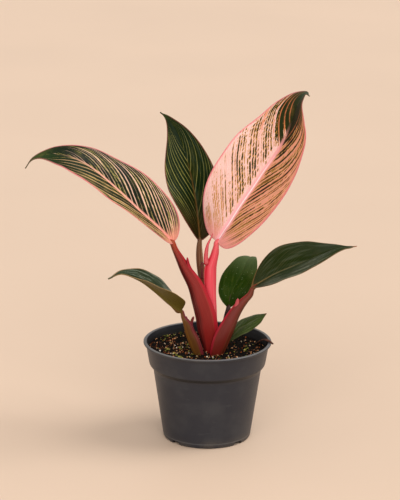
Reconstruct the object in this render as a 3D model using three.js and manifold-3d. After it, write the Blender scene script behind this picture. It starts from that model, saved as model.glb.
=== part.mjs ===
// Potted variegated philodendron: a moulded nursery pot of mix with seven fronds on a short crown.
// Millimetres, +Z up. The origin is on the pot's axis, on its underside, and -Y is the front.
import * as THREE from "three";
import { mergeVertices } from "three/addons/utils/BufferGeometryUtils.js";
import Module from "manifold-3d";

const wasm = await Module();
wasm.setup();
const { Manifold, Mesh } = wasm;

// Clearance between neighbours that touch on the real plant
const CLEARANCE = 0.3;

// Pot: radius and height of each step of the outer wall, from the foot to the lip
const POT_SIDES = 48;
const POT_WALL = 1.2;
const POT_FLOOR = 1.5;
const POT_FOOT_RADIUS = 41;
const POT_RIM_RADIUS = 60;
const POT_HEIGHT = 93.3;
const POT_LIP_THICKNESS = 2;
const POT_LIP_ROUND = 0.5;
const POT_OUTER = [
  [39.4, 0],
  [40.8, 0.6],
  [41.4, 2],
  [50.4, 64],
  [50.8, 66.5],
  [52.2, 69.2],
  [54.1, 71],
  [54.8, 73],
  [57.6, 89.8],
  [58.2, 91.3],
];

// Drains: notches in the foot's edge and round holes in the floor
const NOTCH_AZIMUTHS = [45, 135, 225, 315];
const NOTCH_WIDTH = 9;
const NOTCH_HEIGHT = 3.4;
const NOTCH_LENGTH = 9;
const HOLE_AZIMUTHS = [0, 90, 180, 270];
const HOLE_RADIUS = 4;
const HOLE_CIRCLE = 26;
const HOLE_SIDES = 16;

// Potting mix: the surface falls toward the back and right, and coarse grit stands out of it
const MIX_LEVEL = 83;
const MIX_EDGE_DIP = 2;
const MIX_SLOPE_X = -0.02;
const MIX_SLOPE_Y = -0.02;
const MIX_LUMP = 0.45;
const MIX_LUMP_WAVES = [0.31, 0.27, 0.17, 0.36];
const MIX_RINGS = 7;
const MIX_SIDES = 32;
const GRIT_COUNT = 28;
const GRIT_SIZES = [1.1, 2.3];
const GRIT_SHAPE = [1, 0.75, 0.62];
const GRIT_SEED = 11;
const GRIT_CLEAR_OF_CROWN = 16;
const GRIT_CLEAR_OF_WALL = 3.5;

// Crown: the short stem that the petioles rise from
const CROWN_CENTRE = [3, -2.5];
const CROWN_PROFILE = [
  [0, 58],
  [3.4, 58.6],
  [6, 62],
  [9.6, 70],
  [12.2, 76],
  [13.2, 80],
  [0, 80],
];
const CROWN_TOP = 80;
const CROWN_SIDES = 20;

// Petioles are elliptic rods, never deeper than this from front to back
const STALK_HALF_DEPTH = 2.9;
const SHEATH_WRAP = 0.14;
const STALK_SIDES = 10;
const SHEATH_TIP_HALF_DEPTH = 1;
const SHEATH_TIP_SIDES = 6;

// Blades: rib to edge stations as shares of the half width, and the rib's keel on the underside
const BLADE_STATIONS = [0, 0.12, 0.4, 0.7, 1];
const BLADE_THICKNESS = 0.8;
const BLADE_LEAST_HALF_WIDTH = 0.6;
const KEEL_DEPTH = 1.1;
const KEEL_SHARE = 0.2;

// Blade outline: how fast the base's swelling and the lobes die away, and where the tail begins
const BASE_POWER = 8;
const LOBE_POWER = 10;
const TAIL_SPAN = [0.8, 0.97];

// Blade surface: waves along the edge, steps of the curl, rows drawn toward both ends, tangent step
const WAVE_COUNT = 3.5;
const CURL_STEPS = 12;
const ROW_CLOSING = 0.6;
const TANGENT_STEP = 0.012;

// The side that a frond turns its upper face to, unless it states its own
const FACE = [0, -1, 0.28];

// Bark sliver that stands in the mix and leans over the rim
const BARK_ROUTE = [
  [44, 20, 81, 1],
  [48, 13.5, 87.2, 1.3],
  [52.4, 5.5, 92.4, 1.5],
  [56.5, -2.5, 94.4, 1.4],
  [59, -8, 94.5, 1.1],
  [61.3, -13, 94.3, 0.6],
];
const BARK_HALF_DEPTH = 0.7;

// Fronds. A petiole's stations are x, y, z and half width. A blade's spine runs from base to tip.
// Roll, fold and curl are degrees at the base, the middle and the tip: roll turns the face about
// the rib, fold lifts both halves, and curl bends each half back down toward its edge.
const FRONDS = [
  {
    number: 5,
    stalkColour: 0x6b3028,
    bladeColour: 0x2f3f27,
    stalk: [
      [41.8, -8, 147, 2],
      [39.3, -8.6, 141, 2.8],
      [34.5, -9.2, 135.8, 3.5],
      [29.3, -9.9, 129.8, 4.6],
      [24.5, -10.8, 122.5, 5.6],
      [19.6, -11.9, 113, 6.8],
      [15, -12.4, 103.3, 7.6],
      [11.3, -12.4, 93.5, 7.5],
      [8.2, -11.7, 84, 6.1],
      [5.6, -10.8, 77, 4.1],
    ],
    sheathTips: [
      [
        [23.3, -11, 121.8, 3.9],
        [25.7, -11, 126.6, 3.1],
        [27.2, -11, 131.5, 2.4],
        [27.7, -11, 136.4, 1.3],
        [27.6, -11, 138, 0.4],
      ],
    ],
    spine: [
      [43.5, -8, 150],
      [61, -10.5, 161.5],
      [79, -14, 171],
      [97.5, -19, 180.5],
      [115.5, -24.5, 190],
      [135, -30, 194.5],
    ],
    halfWidth: 26.9,
    basePower: 0.95,
    tipPower: 1.62,
    baseShare: 0,
    tailShare: 0,
    lobe: 4.6,
    roll: [-48, -58, -63],
    fold: [22, 17, -5],
    curl: [-4, -9, -26],
    wave: 0.5,
    rows: 18,
  },
  {
    number: 4,
    stalkColour: 0x6d4a2e,
    bladeColour: 0x3d4a2a,
    stalk: [
      [-24.2, -14, 125.8, 1.8],
      [-22.4, -13.6, 119.8, 2.3],
      [-18.6, -13.2, 112.8, 4.1],
      [-16.4, -12.9, 105.6, 4.6],
      [-13, -12.6, 97.5, 5.4],
      [-9.6, -12.1, 88.6, 5.2],
      [-6.9, -11.8, 81.6, 4.2],
      [-4.3, -11.4, 77, 3.1],
    ],
    sheathTips: [
      [
        [-17.4, -13, 111, 2],
        [-18.6, -13, 115.5, 1.5],
        [-19.4, -13, 118.3, 1],
        [-19.9, -13, 121, 0.4],
      ],
      [
        [-15, -12.4, 107.5, 2],
        [-15, -12.3, 112, 1.3],
        [-14.6, -12.2, 116, 1.4],
        [-13.5, -12.2, 119.2, 1.1],
        [-12.9, -12.1, 120.6, 0.4],
      ],
    ],
    spine: [
      [-24.5, -14, 126],
      [-34.9, -17, 134.7],
      [-49, -20.5, 148.2],
      [-62.6, -24.5, 159.3],
      [-79, -30, 166.7],
      [-91.3, -34, 162.7],
    ],
    halfWidth: 22,
    basePower: 0.54,
    tipPower: 1.61,
    baseShare: 0.05,
    tailShare: 0,
    lobe: -3,
    roll: [94, 78, 27],
    fold: [35, 33, 37],
    curl: [-5, -10, -1],
    wave: 0.4,
    rows: 18,
  },
  {
    number: 1,
    stalkColour: 0x8e2430,
    bladeColour: 0x5d5a40,
    stalk: [
      [-33.2, -2, 188.6, 2.6],
      [-30.5, -2.7, 182, 2.9],
      [-25.5, -3.6, 172.5, 4.1],
      [-20.5, -4.2, 163, 5.3],
      [-12, -5, 149, 7.1],
      [-6.5, -6, 134.5, 8.7],
      [-2, -5.8, 120, 9.7],
      [0, -5.6, 108, 9.8],
      [1.4, -5.2, 98, 8.6],
      [1.9, -4.6, 88, 6.1],
      [1.6, -4, 82, 4.5],
      [1.5, -3.4, 77, 3.8],
    ],
    sheathTips: [
      [
        [-14.8, -5, 154, 3.2],
        [-17, -5, 162.5, 2.8],
        [-18.5, -4.8, 168, 1.9],
        [-19.1, -4.7, 173, 1.1],
        [-19.5, -4.6, 175.6, 0.4],
      ],
    ],
    spine: [
      [-33, -2, 189.5],
      [-46.5, -2, 203.5],
      [-63, -3, 219],
      [-81.5, -4, 237.5],
      [-99.5, -6, 254.5],
      [-114, -8, 265.5],
      [-130, -10, 272.5],
      [-148, -13, 274],
      [-160, -15, 270.5],
      [-167, -16, 261.5],
    ],
    halfWidth: 30.7,
    basePower: 0.61,
    tipPower: 1.26,
    baseShare: 0.07,
    tailShare: 0.62,
    lobe: 1,
    roll: [30, 51, 16],
    fold: [43, 16, -5],
    curl: [4, -6, -39],
    wave: 0.7,
    rows: 26,
  },
  {
    number: 3,
    stalkColour: 0xd0435a,
    bladeColour: 0xd99a86,
    stalk: [
      [7.8, 2, 188.2, 2.3],
      [7.3, 2, 184, 2.7],
      [6.5, 2, 178.5, 3.6],
      [5.3, 2, 173.5, 4],
      [3.5, 2, 168, 4.9],
      [2.2, 2, 162.5, 5.7],
      [2, 2, 151, 5.8],
      [2.5, 2, 137, 5.3],
      [3.8, 2, 121, 4.8],
      [4.7, 2, 103, 4.5],
      [5.2, 2.1, 90, 4.3],
      [5, 2.4, 77, 3.4],
    ],
    sheathTips: [
      [
        [-1, 0.6, 166.5, 2.6],
        [-1.9, -0.7, 172, 2.2],
        [-2, -2, 177, 1.9],
        [-1.5, -3.2, 182, 1.7],
        [-0.5, -4.5, 187.5, 1.2],
        [1.5, -5.8, 192.5, 0.8],
        [3, -6.6, 196, 0.6],
        [4, -7.5, 199.5, 0.4],
      ],
    ],
    spine: [
      [8, 2, 189],
      [18.6, 3, 205.3],
      [29, 5, 222],
      [39.7, 7, 237.7],
      [50.8, 9, 254.7],
      [62, 10, 271.2],
      [70.9, 10, 288.5],
      [77.6, 8, 308.7],
      [82.2, 5, 322.4],
      [88, 3, 328.8],
      [91.3, 2, 326.6],
    ],
    halfWidth: 41.3,
    basePower: 0.46,
    tipPower: 0.62,
    baseShare: 0.18,
    tailShare: 0.2,
    lobe: 0.7,
    roll: [-50, -27, -80],
    fold: [11, 26, 0],
    curl: [-8, -8, -10],
    wave: 0.8,
    rows: 26,
  },
  {
    number: 2,
    stalkColour: 0x4a2a24,
    bladeColour: 0x33402a,
    stalk: [
      [-8, 18, 185.4, 2.1],
      [-8.3, 17.3, 179.1, 2.7],
      [-8, 16.4, 170.7, 3.3],
      [-7, 15, 159.4, 3.4],
      [-4.5, 12.7, 143.5, 3.2],
      [-1, 10.8, 126.5, 3.2],
      [2, 9.8, 108, 3.3],
      [3, 9, 91.5, 3.3],
      [3, 8.6, 77, 3.3],
    ],
    sheathTips: [
      [
        [-5.6, 11, 150, 2.2],
        [-5.5, 11.3, 159.5, 2.3],
        [-5.3, 11.4, 164.6, 1.8],
        [-5, 11.5, 166.8, 0.5],
      ],
    ],
    spine: [
      [-8, 18, 186.5],
      [-9.5, 25, 201.7],
      [-11.5, 32, 217.2],
      [-14.5, 38, 233],
      [-18.5, 42, 250.5],
      [-23, 46, 265.5],
      [-29.5, 51, 280.5],
      [-38, 55, 293],
      [-46, 58, 299],
    ],
    halfWidth: 29.25,
    basePower: 0.74,
    tipPower: 1.35,
    baseShare: 0.04,
    tailShare: 0.08,
    lobe: 1.4,
    roll: [23, -3, -24],
    fold: [38, 31, 1],
    curl: [4, 1, -12],
    wave: 0.6,
    rows: 24,
  },
  {
    number: 6,
    stalkColour: 0x43302a,
    bladeColour: 0x4c6136,
    stalk: [
      [19.4, 8, 121.6, 2.4],
      [18, 8, 113, 3.1],
      [16, 7.4, 101, 3.2],
      [12.6, 6.6, 89.5, 3.1],
      [10.6, 6.2, 77, 2.8],
    ],
    sheathTips: [],
    spine: [
      [19.5, 8, 122.5],
      [21.8, 12, 135.3],
      [27.2, 19, 145.5],
      [33.6, 29, 155.8],
      [38, 42, 161.4],
      [41.2, 56, 159.3],
      [41, 69, 148.2],
    ],
    face: [0, -0.3, 1],
    halfWidth: 15.5,
    basePower: 0.84,
    tipPower: 1.8,
    baseShare: 0.03,
    tailShare: 0.3,
    lobe: -0.4,
    roll: [25, 2, 0],
    fold: [4, 7, 6],
    curl: [-4, -4, -5],
    wave: 0.4,
    rows: 18,
  },
  {
    number: 7,
    stalkColour: 0x6a3a2c,
    bladeColour: 0x35482c,
    stalk: [
      [16.2, 3.8, 88, 1.4],
      [13.6, 1.6, 84, 1.8],
      [11.4, -1, 80.6, 2],
      [10.6, -2, 77, 2],
    ],
    sheathTips: [],
    spine: [
      [16.5, 4, 88.5],
      [27, 6.5, 100.5],
      [41, 11, 109],
      [55.5, 15, 115.5],
    ],
    halfWidth: 11,
    basePower: 1.07,
    tipPower: 0.87,
    baseShare: 0.04,
    tailShare: 0.24,
    lobe: 0.7,
    roll: [-41, -54, -58],
    fold: [10, 5, 1],
    curl: [2, -18, -17],
    wave: 0.2,
    rows: 12,
  },
];

// A number held between two others, and the smooth step from 0 to 1 between two edges
const clamp = (value, low, high) => Math.min(high, Math.max(low, value));
const smoothstep = (low, high, value) => {
  const share = clamp((value - low) / (high - low), 0, 1);
  return share * share * (3 - 2 * share);
};

// The parabola through values at 0, 1/2 and 1
const atThirds = ([first, middle, last], t) =>
  first * (1 - t) * (1 - 2 * t) + 4 * middle * t * (1 - t) + last * t * (2 * t - 1);

// A smooth curve through points
const curveThrough = (points) =>
  new THREE.CatmullRomCurve3(
    points.map(([x, y, z]) => new THREE.Vector3(x, y, z)),
    false,
    "catmullrom",
    0.5,
  );

// Face normal and sideways direction at a tangent, with the face turned about it by roll degrees
function frameAt(along, roll, face = FACE) {
  const facing = new THREE.Vector3(...face);
  facing.addScaledVector(along, -along.dot(facing)).normalize();
  const side = new THREE.Vector3().crossVectors(along, facing);
  const angle = THREE.MathUtils.degToRad(roll);
  const normal = facing.multiplyScalar(Math.cos(angle)).addScaledVector(side, Math.sin(angle));
  return { normal, across: new THREE.Vector3().crossVectors(along, normal) };
}

// A geometry from points and triangles, and a closed solid from a geometry
function geometryOf(points, triangles) {
  const geometry = new THREE.BufferGeometry();
  geometry.setAttribute("position", new THREE.Float32BufferAttribute(points.flat(), 3));
  geometry.setIndex(triangles.flat());
  return geometry;
}
function solidOf(geometry) {
  const bare = geometry.clone();
  bare.deleteAttribute("normal");
  bare.deleteAttribute("uv");
  const merged = mergeVertices(bare, 1e-4);
  return new Manifold(
    new Mesh({
      numProp: 3,
      vertProperties: new Float32Array(merged.attributes.position.array),
      triVerts: new Uint32Array(merged.index.array),
    }),
  );
}

// The largest body of a solid, so that no crumb of a cut stays behind
const largestBody = (solid) =>
  solid.decompose().reduce((best, body) => (body.volume() > best.volume() ? body : best));

// A named mesh in its own material
function meshOf(name, solid, colour, roughness) {
  const mesh = solid.getMesh();
  const geometry = new THREE.BufferGeometry();
  geometry.setAttribute("position", new THREE.BufferAttribute(mesh.vertProperties, 3));
  geometry.setIndex(new THREE.BufferAttribute(mesh.triVerts, 1));
  const flat = geometry.toNonIndexed();
  flat.computeVertexNormals();
  const made = new THREE.Mesh(flat, new THREE.MeshStandardMaterial({ color: colour, roughness }));
  made.name = name;
  return made;
}

// A rod of elliptic section through stations of x, y, z and half width, grown by a clearance.
// Where it is wider than deep, its edges wrap back as a sheath does.
function rod(stations, { halfDepth, sides, steps, grow = 0 }) {
  const curve = curveThrough(stations);
  const widths = curveThrough(stations.map(([, , , halfWidth], i) => [i, halfWidth, 0]));
  const rows = (stations.length - 1) * steps;
  const points = [];
  for (let row = 0; row <= rows; row += 1) {
    const t = row / rows;
    const along = curve.getTangent(t);
    const { normal, across } = frameAt(along, 0);
    const end = row === 0 ? -grow : row === rows ? grow : 0;
    const centre = curve.getPoint(t).addScaledVector(along, end);
    const halfWidth = widths.getPoint(t).y;
    const wrap = SHEATH_WRAP * Math.max(0, halfWidth - halfDepth);
    for (let k = 0; k < sides; k += 1) {
      const angle = (2 * Math.PI * k) / sides;
      const sideways = Math.cos(angle) * (halfWidth + grow);
      const forward = Math.sin(angle) * (Math.min(halfWidth, halfDepth) + grow);
      const p = centre.clone().addScaledVector(across, sideways);
      p.addScaledVector(normal, forward - wrap * Math.cos(angle) ** 2);
      points.push([p.x, p.y, p.z]);
    }
  }
  const triangles = [];
  for (let row = 0; row < rows; row += 1) {
    for (let k = 0; k < sides; k += 1) {
      const a = row * sides + k;
      const b = row * sides + ((k + 1) % sides);
      triangles.push([a, a + sides, b], [b, a + sides, b + sides]);
    }
  }
  const last = rows * sides;
  for (let k = 1; k < sides - 1; k += 1) {
    triangles.push([0, k, k + 1], [last, last + k + 1, last + k]);
  }
  return solidOf(geometryOf(points, triangles));
}

// A petiole with its free sheath tips, grown by a clearance. Its foot is cut level on the crown.
function stalkSolid({ stalk, sheathTips }, grow = 0) {
  const tips = sheathTips.map((stations) =>
    rod(stations, { halfDepth: SHEATH_TIP_HALF_DEPTH, sides: SHEATH_TIP_SIDES, steps: 2, grow }),
  );
  const stem = rod(stalk, { halfDepth: STALK_HALF_DEPTH, sides: STALK_SIDES, steps: 2, grow });
  return Manifold.union([stem, ...tips]);
}

// Half width of a blade at share t of its length, as a share of its widest
function bladeOutline(t, { basePower, tipPower, baseShare, tailShare }) {
  const widest = basePower / (basePower + tipPower);
  const power = (u) => u ** basePower * (1 - u) ** tipPower;
  const body = power(t) / power(widest) + baseShare * (1 - t) ** BASE_POWER;
  return body * (1 - tailShare * smoothstep(...TAIL_SPAN, t));
}

// A point of a blade's upper face at share t from base to tip and s from the left edge to the right
function bladePoint(curve, frond, t, s) {
  const before = curve.getPointAt(clamp(t - TANGENT_STEP, 0, 1));
  const along = curve.getPointAt(clamp(t + TANGENT_STEP, 0, 1)).sub(before).normalize();
  const { normal, across } = frameAt(along, atThirds(frond.roll, t), frond.face);
  const reach = Math.abs(s);
  const halfWidth = Math.max(BLADE_LEAST_HALF_WIDTH, frond.halfWidth * bladeOutline(t, frond));
  const fold = THREE.MathUtils.degToRad(atThirds(frond.fold, t));
  const curl = THREE.MathUtils.degToRad(atThirds(frond.curl, t));
  let sideways = 0;
  let lift = 0;
  for (let i = 0; i < CURL_STEPS; i += 1) {
    const angle = fold + (curl * reach * (i + 0.5)) / CURL_STEPS;
    sideways += (Math.cos(angle) * reach * halfWidth) / CURL_STEPS;
    lift += (Math.sin(angle) * reach * halfWidth) / CURL_STEPS;
  }
  const phase = 2 * Math.PI * WAVE_COUNT * t + (s < 0 ? Math.PI / 2 : 0);
  const wave = frond.wave * reach ** 2 * Math.sin(phase) * 4 * t * (1 - t);
  return curve
    .getPointAt(t)
    .addScaledVector(across, Math.sign(s) * sideways)
    .addScaledVector(normal, lift + wave)
    .addScaledVector(along, -frond.lobe * reach ** 2 * (1 - t) ** LOBE_POWER);
}

// Rows close up toward the base and the tip, where the outline turns fastest
const rowShare = (row, rows) => {
  const turn = (2 * Math.PI * row) / rows;
  return row / rows - (ROW_CLOSING * Math.sin(turn)) / (2 * Math.PI);
};

// A blade: a grid of the upper face, the same grid below it, and a keel under the rib
function bladeSolid(frond) {
  const curve = curveThrough(frond.spine);
  const shares = [...BLADE_STATIONS.slice(1).reverse().map((s) => -s), ...BLADE_STATIONS];
  const across = shares.length;
  const upper = [];
  for (let row = 0; row <= frond.rows; row += 1) {
    for (const s of shares) upper.push(bladePoint(curve, frond, rowShare(row, frond.rows), s));
  }
  const faces = [];
  for (let row = 0; row < frond.rows; row += 1) {
    for (let k = 0; k < across - 1; k += 1) {
      const a = row * across + k;
      faces.push([a, a + 1, a + across], [a + 1, a + across + 1, a + across]);
    }
  }
  const sheet = geometryOf(upper.map((p) => [p.x, p.y, p.z]), faces);
  sheet.computeVertexNormals();
  const normals = sheet.getAttribute("normal");
  const lower = upper.map((p, i) => {
    const t = rowShare(Math.floor(i / across), frond.rows);
    const keel = KEEL_DEPTH * (1 - t) * Math.max(0, 1 - Math.abs(shares[i % across]) / KEEL_SHARE);
    const normal = new THREE.Vector3().fromBufferAttribute(normals, i);
    return p.clone().addScaledVector(normal, -BLADE_THICKNESS - keel);
  });
  const size = upper.length;
  const triangles = faces.concat(faces.map(([a, b, c]) => [a + size, c + size, b + size]));
  const border = [];
  for (let k = 0; k < across - 1; k += 1) border.push(k);
  for (let row = 0; row < frond.rows; row += 1) border.push(row * across + across - 1);
  for (let k = across - 1; k > 0; k -= 1) border.push(frond.rows * across + k);
  for (let row = frond.rows; row > 0; row -= 1) border.push(row * across);
  border.forEach((a, i) => {
    const b = border[(i + 1) % border.length];
    triangles.push([a, a + size, b], [b, a + size, b + size]);
  });
  return solidOf(geometryOf([...upper, ...lower].map((p) => [p.x, p.y, p.z]), triangles));
}

// A closed solid of revolution about the Z axis from a profile of radius and height
function turned(profile, sides) {
  const points = profile.map(([radius, height]) => new THREE.Vector2(radius, height));
  const lathe = new THREE.LatheGeometry([...points, points[0]], sides);
  return solidOf(lathe.rotateX(Math.PI / 2));
}

// A point at an azimuth, counted from the front toward +X
const around = (radius, azimuth) => {
  const angle = THREE.MathUtils.degToRad(azimuth);
  return [radius * Math.sin(angle), -radius * Math.cos(angle)];
};

// The pot's inner wall follows the outer one, and the mix keeps its clearance to it
const potInner = (gap) => POT_OUTER.slice(2).map(([radius, height]) => [radius - POT_WALL - gap, height]);

// The pot is one shell, with notches and holes cut through its foot and floor
function potSolid() {
  const lipFoot = POT_HEIGHT - POT_LIP_THICKNESS;
  const lip = [
    [POT_RIM_RADIUS - POT_LIP_ROUND, lipFoot],
    [POT_RIM_RADIUS, lipFoot + POT_LIP_ROUND],
    [POT_RIM_RADIUS, POT_HEIGHT - POT_LIP_ROUND],
    [POT_RIM_RADIUS - POT_LIP_ROUND, POT_HEIGHT],
  ];
  const inner = potInner(0).reverse();
  const foot = inner.pop();
  const mouth = [[inner[0][0], POT_HEIGHT], ...inner];
  const floor = [
    [foot[0], POT_FLOOR + 1],
    [foot[0] - 1, POT_FLOOR],
    [0, POT_FLOOR],
  ];
  const body = turned([[0, 0], ...POT_OUTER, ...lip, ...mouth, ...floor], POT_SIDES);
  const notches = NOTCH_AZIMUTHS.map((azimuth) => {
    const box = new THREE.BoxGeometry(NOTCH_WIDTH, NOTCH_LENGTH, 2 * NOTCH_HEIGHT);
    const [x, y] = around(POT_FOOT_RADIUS, azimuth);
    return solidOf(box.rotateZ(THREE.MathUtils.degToRad(azimuth)).translate(x, y, 0));
  });
  const holes = HOLE_AZIMUTHS.map((azimuth) => {
    const hole = new THREE.CylinderGeometry(HOLE_RADIUS, HOLE_RADIUS, 4 * POT_FLOOR, HOLE_SIDES);
    const [x, y] = around(HOLE_CIRCLE, azimuth);
    return solidOf(hole.rotateX(Math.PI / 2).translate(x, y, 0));
  });
  return body.subtract(Manifold.union([...notches, ...holes]));
}

// Height of the mix at a place: a gentle slope and low lumps
function mixHeight(x, y) {
  const [broad, deep, slant, cross] = MIX_LUMP_WAVES;
  const lumps = Math.sin(broad * x) * Math.cos(deep * y) + Math.sin(slant * x - cross * y);
  return MIX_LEVEL + MIX_SLOPE_X * x + MIX_SLOPE_Y * y + MIX_LUMP * lumps;
}

// A seeded source of numbers from 0 to 1
function seededRandom(seed) {
  let state = seed;
  return () => {
    state = (state * 16807) % 2147483647;
    return state / 2147483647;
  };
}

// Coarse grit: flattened eight-sided stones half sunk in the mix, clear of the crown and the wall
function gritSolids(wallRadius) {
  const random = seededRandom(GRIT_SEED);
  const stones = [];
  while (stones.length < GRIT_COUNT) {
    const radius = (wallRadius - GRIT_CLEAR_OF_WALL) * Math.sqrt(random());
    const [x, y] = around(radius, 360 * random());
    const size = GRIT_SIZES[0] + (GRIT_SIZES[1] - GRIT_SIZES[0]) * random();
    const turn = Math.PI * random();
    if (Math.hypot(x - CROWN_CENTRE[0], y - CROWN_CENTRE[1]) < GRIT_CLEAR_OF_CROWN) continue;
    const stone = new THREE.OctahedronGeometry(size).scale(...GRIT_SHAPE);
    stone.rotateX(turn / 5).rotateZ(turn).translate(x, y, mixHeight(x, y));
    stones.push(solidOf(stone));
  }
  return stones;
}

// The mix fills the pot from its floor to the lumpy surface
function mixSolid() {
  const wall = potInner(CLEARANCE);
  const [collarFoot, collarTop] = wall.slice(-3, -1);
  const rise = (MIX_LEVEL - MIX_EDGE_DIP - collarFoot[1]) / (collarTop[1] - collarFoot[1]);
  const edge = collarFoot[0] + (collarTop[0] - collarFoot[0]) * rise;
  const bottom = POT_FLOOR + CLEARANCE;
  const [footRadius] = wall[0];
  const rings = [[footRadius - POT_WALL, bottom], [footRadius, bottom + POT_WALL], ...wall.slice(1, -2)];
  const points = [[0, 0, bottom]];
  const ring = (radius, height) => {
    for (let k = 0; k < MIX_SIDES; k += 1) {
      const [x, y] = around(radius, (360 * k) / MIX_SIDES);
      points.push([x, y, height(x, y)]);
    }
  };
  rings.forEach(([radius, height]) => ring(radius, () => height));
  for (let i = MIX_RINGS; i > 0; i -= 1) ring((edge * i) / MIX_RINGS, mixHeight);
  points.push([0, 0, mixHeight(0, 0)]);
  const count = rings.length + MIX_RINGS;
  const triangles = [];
  const index = (row, k) => 1 + row * MIX_SIDES + (k % MIX_SIDES);
  for (let k = 0; k < MIX_SIDES; k += 1) {
    triangles.push([0, index(0, k + 1), index(0, k)]);
    triangles.push([points.length - 1, index(count - 1, k), index(count - 1, k + 1)]);
    for (let row = 0; row < count - 1; row += 1) {
      triangles.push([index(row, k), index(row, k + 1), index(row + 1, k)]);
      triangles.push([index(row, k + 1), index(row + 1, k + 1), index(row + 1, k)]);
    }
  }
  return solidOf(geometryOf(points, triangles)).add(Manifold.union(gritSolids(edge)));
}

// Crown: a short stem, and the same grown by a clearance for the hole that it stands in
function crownSolid(grow = 0) {
  const profile = CROWN_PROFILE.map(([radius, height], i) => [
    radius === 0 ? 0 : radius + grow,
    i < 2 ? height - grow : height + (height === CROWN_TOP ? grow : 0),
  ]);
  return turned(profile, CROWN_SIDES).translate([...CROWN_CENTRE, 0]);
}

// The petioles stand clear of the ones in front of them, and their feet clear of the crown
const group = new THREE.Group();
const aboveCrown = (solid) => solid.trimByPlane([0, 0, 1], CROWN_TOP + CLEARANCE);
const fronts = [];
const stalks = [];
for (const frond of FRONDS) {
  let stalk = aboveCrown(stalkSolid(frond));
  for (const front of fronts) stalk = stalk.subtract(front);
  stalk = largestBody(stalk);
  fronts.push(stalkSolid(frond, CLEARANCE));
  stalks.push({ frond, stalk });
}

// The blades stand clear of every petiole
const allStalks = Manifold.union(fronts);
for (const { frond, stalk } of stalks) {
  const blade = largestBody(bladeSolid(frond).subtract(allStalks));
  group.add(meshOf(`petiole_${frond.number}`, stalk, frond.stalkColour, 0.5));
  group.add(meshOf(`blade_${frond.number}`, blade, frond.bladeColour, 0.45));
}

// The mix has a plain hole for all that stands in it
const bark = (grow) => rod(BARK_ROUTE, { halfDepth: BARK_HALF_DEPTH, sides: 6, steps: 2, grow });
const standing = Manifold.union([allStalks, crownSolid(CLEARANCE), bark(CLEARANCE)]);
const mix = largestBody(mixSolid().subtract(standing));
group.add(meshOf("crown", crownSolid(), 0x6f5a3a, 0.8));
group.add(meshOf("potting_mix", mix, 0x2a211b, 0.95));
group.add(meshOf("pot", potSolid(), 0x3b3a3a, 0.55));
group.add(meshOf("bark_sliver", bark(0), 0x7a4630, 0.9));

export default group;
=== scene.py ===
"""A variegated philodendron in its nursery pot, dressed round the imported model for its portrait.

Lengths are in millimetres, and MM turns them to metres, unless a docstring says that they are in
metres. The camera looks along +Y, so the front of the plant is -Y, +X is to its right and +Z is up.
"""
import logging
import math
from collections.abc import Callable, Sequence
from dataclasses import dataclass, field, replace
from enum import Enum

import bmesh
import bpy
import numpy as np
from bmesh.types import BMesh
from bpy.types import Material, Node, NodeSocket, NodeTree, Object
from mathutils import Matrix, Vector, noise


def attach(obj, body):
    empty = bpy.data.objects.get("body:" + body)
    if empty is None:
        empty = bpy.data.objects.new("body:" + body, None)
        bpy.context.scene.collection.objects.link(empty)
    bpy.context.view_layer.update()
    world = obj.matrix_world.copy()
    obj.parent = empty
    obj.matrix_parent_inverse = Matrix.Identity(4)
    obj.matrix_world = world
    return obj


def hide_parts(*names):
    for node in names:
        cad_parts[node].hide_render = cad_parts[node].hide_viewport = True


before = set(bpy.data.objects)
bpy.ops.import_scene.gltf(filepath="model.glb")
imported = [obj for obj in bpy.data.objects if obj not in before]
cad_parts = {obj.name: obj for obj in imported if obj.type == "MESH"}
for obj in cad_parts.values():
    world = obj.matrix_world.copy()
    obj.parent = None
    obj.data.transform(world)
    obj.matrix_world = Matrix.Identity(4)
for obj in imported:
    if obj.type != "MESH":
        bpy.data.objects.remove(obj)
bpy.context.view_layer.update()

LOG = logging.getLogger("philodendron")
MM = 0.001
BODY = "root"
TURN = 2 * math.pi
Colour = tuple[float, float, float, float]
Triple = tuple[float, float, float]
Station = tuple[float, float, float, float]
Pair = tuple[float, float]
Stops = tuple[Pair, ...]
Halves = str | tuple[str, str]
FORWARD: Triple = (0.0, -1.0, 0.28)


def srgb(code: str) -> Colour:
    """Turn a colour as painters write it into the linear numbers that shaders use.

    Args:
        code: Six hexadecimal digits, red first.

    Returns:
        Linear red, green, blue and an alpha of 1.
    """
    shares = [int(code[i : i + 2], 16) / 255 for i in (0, 2, 4)]
    linear = [c / 12.92 if c <= 0.04045 else ((c + 0.055) / 1.055) ** 2.4 for c in shares]
    return (linear[0], linear[1], linear[2], 1.0)


def as_colour(value: "str | float | Colour | Field") -> "Colour | Field":
    """A colour from its six digits, a grey from its linear level, or what is a colour already."""
    if isinstance(value, str):
        return srgb(value)
    return (value, value, value, 1.0) if isinstance(value, float) else value


def metres(length: float) -> float:
    """A length in millimetres, in metres."""
    return length * MM


def floats(values: Sequence[float]) -> tuple[float, ...]:
    """The values, all as floats."""
    return tuple(map(float, values))


def radians(angles: Sequence[float]) -> tuple[float, ...]:
    """Angles in degrees, in radians."""
    return tuple(map(math.radians, angles))


def titled(name: str) -> str:
    """A keyword as the title of a socket."""
    return name.replace("_", " ").title()


def live(sockets: Sequence[NodeSocket], key: int | str) -> NodeSocket:
    """The socket at a place, or the first one in use that has a name."""
    return sockets[key] if isinstance(key, int) else next(s for s in sockets if s.enabled and s.name == key)


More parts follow.
